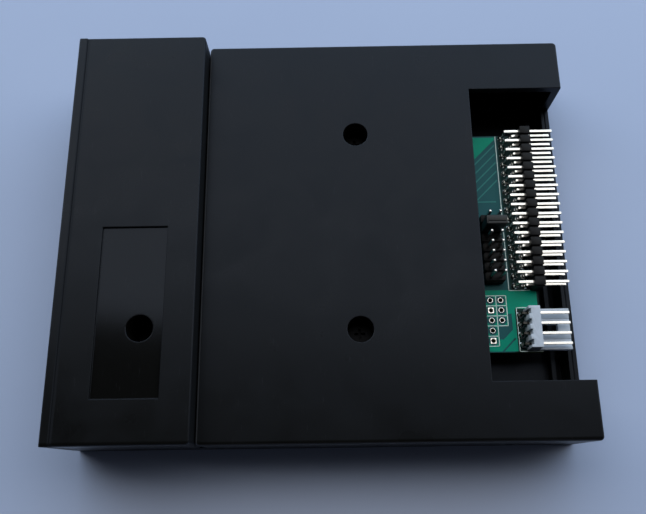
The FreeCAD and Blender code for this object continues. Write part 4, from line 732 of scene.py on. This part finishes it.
# The cap's polyester has no glass in it, so it is smoother and shinier than the blocks.
polyester, shader = new_finish("moulded_cap_polyester", {"IOR": 1.55, "Specular IOR Level": 0.2})
mottle(polyester, shader, 0.9, "#0f1113", "#1a1d20", rough=(0.32, 0.46), relief=(0.2, 0.03))
fit(round_off(cap, 0.1), "jumper_cap_moulding", polyester, "cap_plastic", "jumper", "jumper_cap")

# The spring has a thin flash of gold, which looks warm and bright.
bronze, shader = new_finish("gold_flashed_bronze", {"Metallic": 1.0})
mottle(bronze, shader, 0.6, "#b98d4a", "#d9b56c", rough=(0.2, 0.34), detail=3.0)
repaint(bronze, "jumper_cap_contact")


# Display: three digits in a dark moulded block, each of seven milky bars with pointed ends and a
# dot. Its two rows of leads go down into the board behind it.
house_low, house_high = (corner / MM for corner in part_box("display_housing"))
housing = block(house_low, house_high)
# The block is hollow at its back, where the leads come out.
choose(housing, "faces", lambda middle, normal: normal.y > 0.9)
bpy.ops.mesh.inset(thickness=0.9 * MM)
pull(y=-0.8)
close()
# The block is moulded matt, so that only the bars stand out behind the window.
display_plastic, shader = new_finish("moulded_display_block", {"IOR": 1.5})
mottle(display_plastic, shader, 0.5, "#1d1d1f", "#2b2b2e", rough=(0.5, 0.65))
fit(round_off(housing, 0.2), "display_block",
    display_plastic, "display_plastic", "case", "display_housing")

BAR_FRONT, BAR_BACK = -58.5, -58.2
BAR_HALF, BAR_THICK, BAR_POINT = 1.15, 0.7, 0.34
# From one bar to the next across half a digit, and from one digit to the next.
BAR_STEP, DIGIT_PITCH = 1.955, 7.2
DOT_RADIUS, DOT_ASIDE = 0.42, 3.0
DIGIT_Z = (house_low.z + house_high.z) / 2
digits = [-16.7 + DIGIT_PITCH * step for step in (-1, 0, 1)]
bar = block((-BAR_HALF, BAR_FRONT, -BAR_THICK / 2), (BAR_HALF, BAR_BACK, BAR_THICK / 2))
for side in (-1.0, 1.0):
    choose(bar, "faces", lambda middle, normal: normal.x * side > 0.9)
    pull(x=BAR_POINT * side)
    squeeze(1.0, 1.0, 0.06, (0.0, BAR_BACK, 0.0))
    close()
round_off(bar, 0.05, 1)
upright_bar = twin(bar)
upright_bar.data.transform(Matrix.Rotation(math.pi / 2, 4, "Y"))
dot = rod(DOT_RADIUS, BAR_BACK - BAR_FRONT, (0.0, (BAR_BACK + BAR_FRONT) / 2, 0.0), sides=20,
          turn=(math.pi / 2, 0.0, 0.0))
round_off(dot, 0.06, 1)
bars = copies(bar, [(x, 0.0, DIGIT_Z + BAR_STEP * up) for x in digits for up in (-2, 0, 2)])
bars += copies(upright_bar, [(x + BAR_STEP * across, 0.0, DIGIT_Z + BAR_STEP * up)
                             for x in digits for across in (-1, 1) for up in (-1, 1)])
bars += copies(dot, [(x + DOT_ASIDE, 0.0, DIGIT_Z - 2 * BAR_STEP) for x in digits])
# A white filler in the epoxy spreads the light, so the bars look soft and milky.
milky, shader = new_finish("milky_light_epoxy", {
    "IOR": 1.5, "Subsurface Weight": 0.3, "Subsurface Radius": (1.0, 0.4, 0.3),
    "Subsurface Scale": 0.5 * MM})
mottle(milky, shader, 1.0, "#cfc2bc", "#e6dcd6", rough=(0.3, 0.42), detail=2.0)
fit(join(bars), "display_bars", milky, "display_bar", "case", "display_segments")
repaint(tin, "display_leads", "lamp_leads", "switch_terminals")


# Push buttons: each stem is moulded ABS and stands on a tact switch, a black nylon housing under
# a folded steel bracket, with a steel snap dome inside. The nylon is filled, so it is dull.
button_abs = moulded_abs("moulded_abs_button", "#151618", "#1f2023", 0.34)[0]
repaint(button_abs, "up_button_stem", "down_button_stem")
switch_nylon, shader = new_finish("moulded_switch_nylon", {"IOR": 1.53})
mottle(switch_nylon, shader, 0.6, "#141415", "#222224", rough=(0.45, 0.6))
repaint(switch_nylon, "switch_housings", "lamp_holder")

# The steel is nickel plated, and rolling has left bright lines along it, 2.5 mm long and
# 0.17 mm wide.
sheet_steel, shader = new_finish("nickel_plated_sheet_steel", {"Metallic": 1.0})
place = add(sheet_steel, "TexCoord").outputs["Object"]
rolled = add(sheet_steel, "Mapping", {"Vector": place, "Scale": (400.0, 6000.0, 6000.0)})
grain = add(sheet_steel, "TexNoise", {
    "Vector": rolled.outputs["Vector"], "Scale": 1.0, "Detail": 3.0})
tone = add(sheet_steel, "Mix", {
    "Factor": grain.outputs["Fac"], MIX_A: colour("#a9abae"), MIX_B: colour("#cfd0d2")},
    data_type="RGBA")
rough = add(sheet_steel, "MapRange", {
    "Value": grain.outputs["Fac"], "To Min": 0.2, "To Max": 0.38})
connect(sheet_steel, tone.outputs[MIXED], shader.inputs["Base Color"])
connect(sheet_steel, rough.outputs["Result"], shader.inputs["Roughness"])
repaint(sheet_steel, "switch_brackets", "switch_domes")


# Status lamp: a round lens cast in tinted clear epoxy, held off the board by a black block.
# Cast against a polished mould, it is smooth and glassy.
lens, shader = new_finish("cast_green_epoxy", {
    "IOR": 1.53, "Roughness": 0.12, "Transmission Weight": 0.35})
mottle(lens, shader, 1.5, "#3f9a4c", "#5cb865", detail=2.0)
repaint(lens, "status_lamp")


# Memory stick socket: a shell folded from plated sheet steel, with spring leaves pressed in from
# its top and bottom, round a plastic tongue with four gilt contacts.
SHELL_LOW, SHELL_HIGH = Vector((14.75, -61.1, 11.7)), Vector((27.85, -47.1, 17.42))
SHELL_SKIN = 0.3
LEAF_PLACES, LEAF_HALF, LEAF_SKIN, LEAF_DIP = (18.2, 24.4), 0.75, 0.24, 0.55
OPENING_HALF, OPENING_FRONT, OPENING_REAR = 0.95, -58.6, -53.2
shell = block(SHELL_LOW, SHELL_HIGH)
choose(shell, "edges", lambda a, b: abs(a.y - b.y) > 5.0)
bpy.ops.mesh.bevel(offset=0.7 * MM, segments=4)
close()
choose(shell, "faces", lambda middle, normal: normal.y < -0.9)
bpy.ops.mesh.delete(type="FACE")
close()
finish_with(shell, "SOLIDIFY", thickness=SHELL_SKIN * MM, offset=-1.0)
# Each leaf lies in an opening: it bends inwards in steps, and its tip bends back out.
for x in LEAF_PLACES:
    for under, over in ((16.6, 18.0), (11.0, 12.5)):
        cut(shell, block((x - OPENING_HALF, OPENING_FRONT, under),
                         (x + OPENING_HALF, OPENING_REAR, over)))
top_sheet, bottom_sheet = SHELL_HIGH.z - SHELL_SKIN / 2, SHELL_LOW.z + SHELL_SKIN / 2
leaves = []
for x in LEAF_PLACES:
    for level, dip in ((top_sheet, -LEAF_DIP), (bottom_sheet, LEAF_DIP)):
        leaf = block((x - LEAF_HALF, -53.3, level - LEAF_SKIN / 2),
                     (x + LEAF_HALF, -52.9, level + LEAF_SKIN / 2))
        for reach, sink in ((-1.8, 0.3), (-1.6, 0.7), (-0.7, 0.35), (-0.6, -0.5)):
            choose(leaf, "faces", lambda middle, normal: normal.y < -0.5)
            pull(y=reach, z=sink * dip)
            close()
        leaves.append(leaf)
legs = [block((x, -53.1, 8.0), (x + SHELL_SKIN, -51.5, 13.0))
        for x in (SHELL_LOW.x, SHELL_HIGH.x - SHELL_SKIN)]
fit(round_off(join([shell] + leaves + legs), 0.05, 1, over=50), "socket_shell",
    sheet_steel, "sheet_steel", "case", "usb_shell")

# The tongue is moulded in off-white polyester, with a faint sheen, and it is thick at its root.
TONGUE_FACE, TONGUE_ROOT = 14.85, -48.0
tongue_low, tongue_high = (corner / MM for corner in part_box("usb_tongue"))
tongue = divide(block((tongue_low.x, tongue_low.y, TONGUE_FACE), tongue_high),
                (0.0, TONGUE_ROOT, 0.0), (0.0, 1.0, 0.0))
choose(tongue, "faces", lambda middle, normal: normal.z < -0.9 and middle.y > TONGUE_ROOT)
pull(z=tongue_low.z - TONGUE_FACE)
close()
tongue_plastic, shader = new_finish("moulded_tongue_polyester", {"IOR": 1.55})
mottle(tongue_plastic, shader, 1.5, "#c4c4c2", "#d8d8d6", rough=(0.4, 0.5))
fit(round_off(tongue, 0.15), "socket_tongue",
    tongue_plastic, "socket_plastic", "case", "usb_tongue")
repaint(bronze, "usb_contacts")


# Front panel: a plate moulded in the same ABS that hooks onto the tray and the hood. Its display
# window is smoked red acrylic, glued in from the front. It is cast with a polished face, so it
# looks like dark red glass.
repaint(moulded_abs("moulded_abs_panel", BLACK, WORN_BLACK, 0.32)[0], "front_panel")
acrylic, shader = new_finish("smoked_red_acrylic", {
    "IOR": 1.49, "Roughness": 0.04, "Transmission Weight": 0.92})
mottle(acrylic, shader, 8.0, "#a23236", "#b03c40", detail=2.0)
glass_low, glass_high = (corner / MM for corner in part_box("display_window"))
window = round_off(block(glass_low, glass_high), 0.25, 3)
fit(window, "display_pane", acrylic, "display_tint", "case", "display_window")


# Top cover: the upper shell behind the hood, with two screw wells and the notch for the plugs.
# A pale strip along its front edge is a painted highlight.
COVER_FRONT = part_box("front_hood")[1].y
front_edge_highlight = (COVER_FRONT + 0.4 * MM, 0.32 * MM, "#37383b", 0.3)
cover_abs = moulded_abs("moulded_abs_cover", BLACK, WORN_BLACK, 0.33, marks=(front_edge_highlight,))[0]
repaint(cover_abs, "top_cover")


# Front hood: the raised front of the case. The place for the label is sunk 0.6 mm, and there the
# mould was polished, so the plastic is smoother and mirrors the light more sharply.
# Its rear wall, above the cover, is painted a little lighter: painted light in that corner.
rear_wall_light = (COVER_FRONT, 0.1 * MM, "#141516", 0.5)
hood_abs, shader, rough = moulded_abs(
    "moulded_abs_hood", BLACK, WORN_BLACK, 0.31, edge_wear_and_highlight=0.25, marks=(rear_wall_light,))
sunk_place = patch(hood_abs, ("X", "GREATER_THAN", 0.75), ("X", "LESS_THAN", 40.85),
                   ("Y", "GREATER_THAN", -51.25), ("Y", "LESS_THAN", -35.85),
                   ("Z", "GREATER_THAN", 24.6), ("Z", "LESS_THAN", 25.2))
polish = add(hood_abs, "Mix", {"Factor": sunk_place, "A": rough, "B": 0.11})
connect(hood_abs, polish.outputs["Result"], shader.inputs["Roughness"])
repaint(hood_abs, "front_hood")


# Screws: self-tapping pan heads deep in the wells, which hold the cover and the hood. Their steel
# is blackened in oil, a dark metal with a soft shine.
blackened, shader = new_finish("blackened_steel", {"Metallic": 1.0})
mottle(blackened, shader, 0.6, "#0a0a0c", "#17181a", rough=(0.35, 0.55))
repaint(blackened, "cover_screws", "hood_screw")


# The floor is a plain pale card, quite matt. Two large soft lamps in one plane light it from the
# left of the drive: the lower one is the bluer, as a window's sky is, and the upper one is nearly
# white.
bpy.ops.object.select_all(action="DESELECT")
bpy.ops.mesh.primitive_plane_add(size=3.0, location=(0.0, 0.0, 0.0))
floor = bpy.context.object
floor.name = "floor"
card, shader = new_finish("pale_card", {"Roughness": 0.8, "Specular IOR Level": 0.2})
mottle(card, shader, 50.0, "#9caac7", "#a2b0cc")
floor.data.materials.append(card)

LAMPS_MIDDLE = Vector((-0.46, 0.06, 0.59))
LAMP_LENGTH, LAMP_WIDTH = 2.4, 0.43
NEARLY_WHITE, SKY_BLUE = (1.0, 0.97, 0.93), (0.66, 0.84, 1.0)
aim = (-LAMPS_MIDDLE).to_track_quat("-Z", "Y")
for name, side, power, glow in (("upper_lamp", 0.5, 7.7, NEARLY_WHITE),
                                ("lower_lamp", -0.5, 9.7, SKY_BLUE)):
    place = LAMPS_MIDDLE + aim @ Vector((0.0, side * LAMP_WIDTH, 0.0))
    bpy.ops.object.light_add(type="AREA", location=place, rotation=aim.to_euler())
    lamp = bpy.context.object
    lamp.name = name
    lamp.data.shape = "RECTANGLE"
    lamp.data.size = LAMP_LENGTH
    lamp.data.size_y = LAMP_WIDTH
    lamp.data.energy = power
    lamp.data.color = glow

# The room is light near the floor and dark overhead. On the right of the drive it is darker: its
# light ends lower there.
world = bpy.data.worlds.new("studio")
bpy.context.scene.world = world
world.use_nodes = True
surroundings = world.node_tree.nodes["Background"]
way = add(world, "SeparateXYZ", {"Vector": add(world, "TexCoord").outputs["Generated"]})
away = add(world, "Math", {0: way.outputs["X"], 1: 0.0}, operation="MAXIMUM")
steeper = add(world, "Math", {
    0: away.outputs["Value"], 1: 1.5, 2: 1.0}, operation="MULTIPLY_ADD")
height = add(world, "Math", {
    0: way.outputs["Z"], 1: steeper.outputs["Value"]}, operation="MULTIPLY")
band = add(world, "MapRange", {
    "Value": height.outputs["Value"], "From Min": 0.1, "From Max": 0.75},
    interpolation_type="SMOOTHSTEP")
sky = add(world, "Mix", {
    "Factor": band.outputs["Result"], MIX_A: colour("#9aa2b4"), MIX_B: colour("#1b1917")},
    data_type="RGBA")
connect(world, sky.outputs[MIXED], surroundings.inputs["Color"])
surroundings.inputs["Strength"].default_value = 1.0

# The camera looks down from the right side, at the angle of the photograph.
bpy.ops.object.camera_add(
    location=(0.05736, 0.00176, 0.17600),
    rotation=(math.radians(16.502), math.radians(0.552), math.radians(89.260)))
camera = bpy.context.object
camera.name = "camera"
camera.data.sensor_width = 36.0
camera.data.lens = 38.148
camera.data.shift_x = -0.0035
camera.data.shift_y = 0.0240
camera.data.clip_start = 0.005
camera.data.clip_end = 20.0
bpy.context.scene.camera = camera
bpy.context.scene.view_settings.view_transform = "Standard"
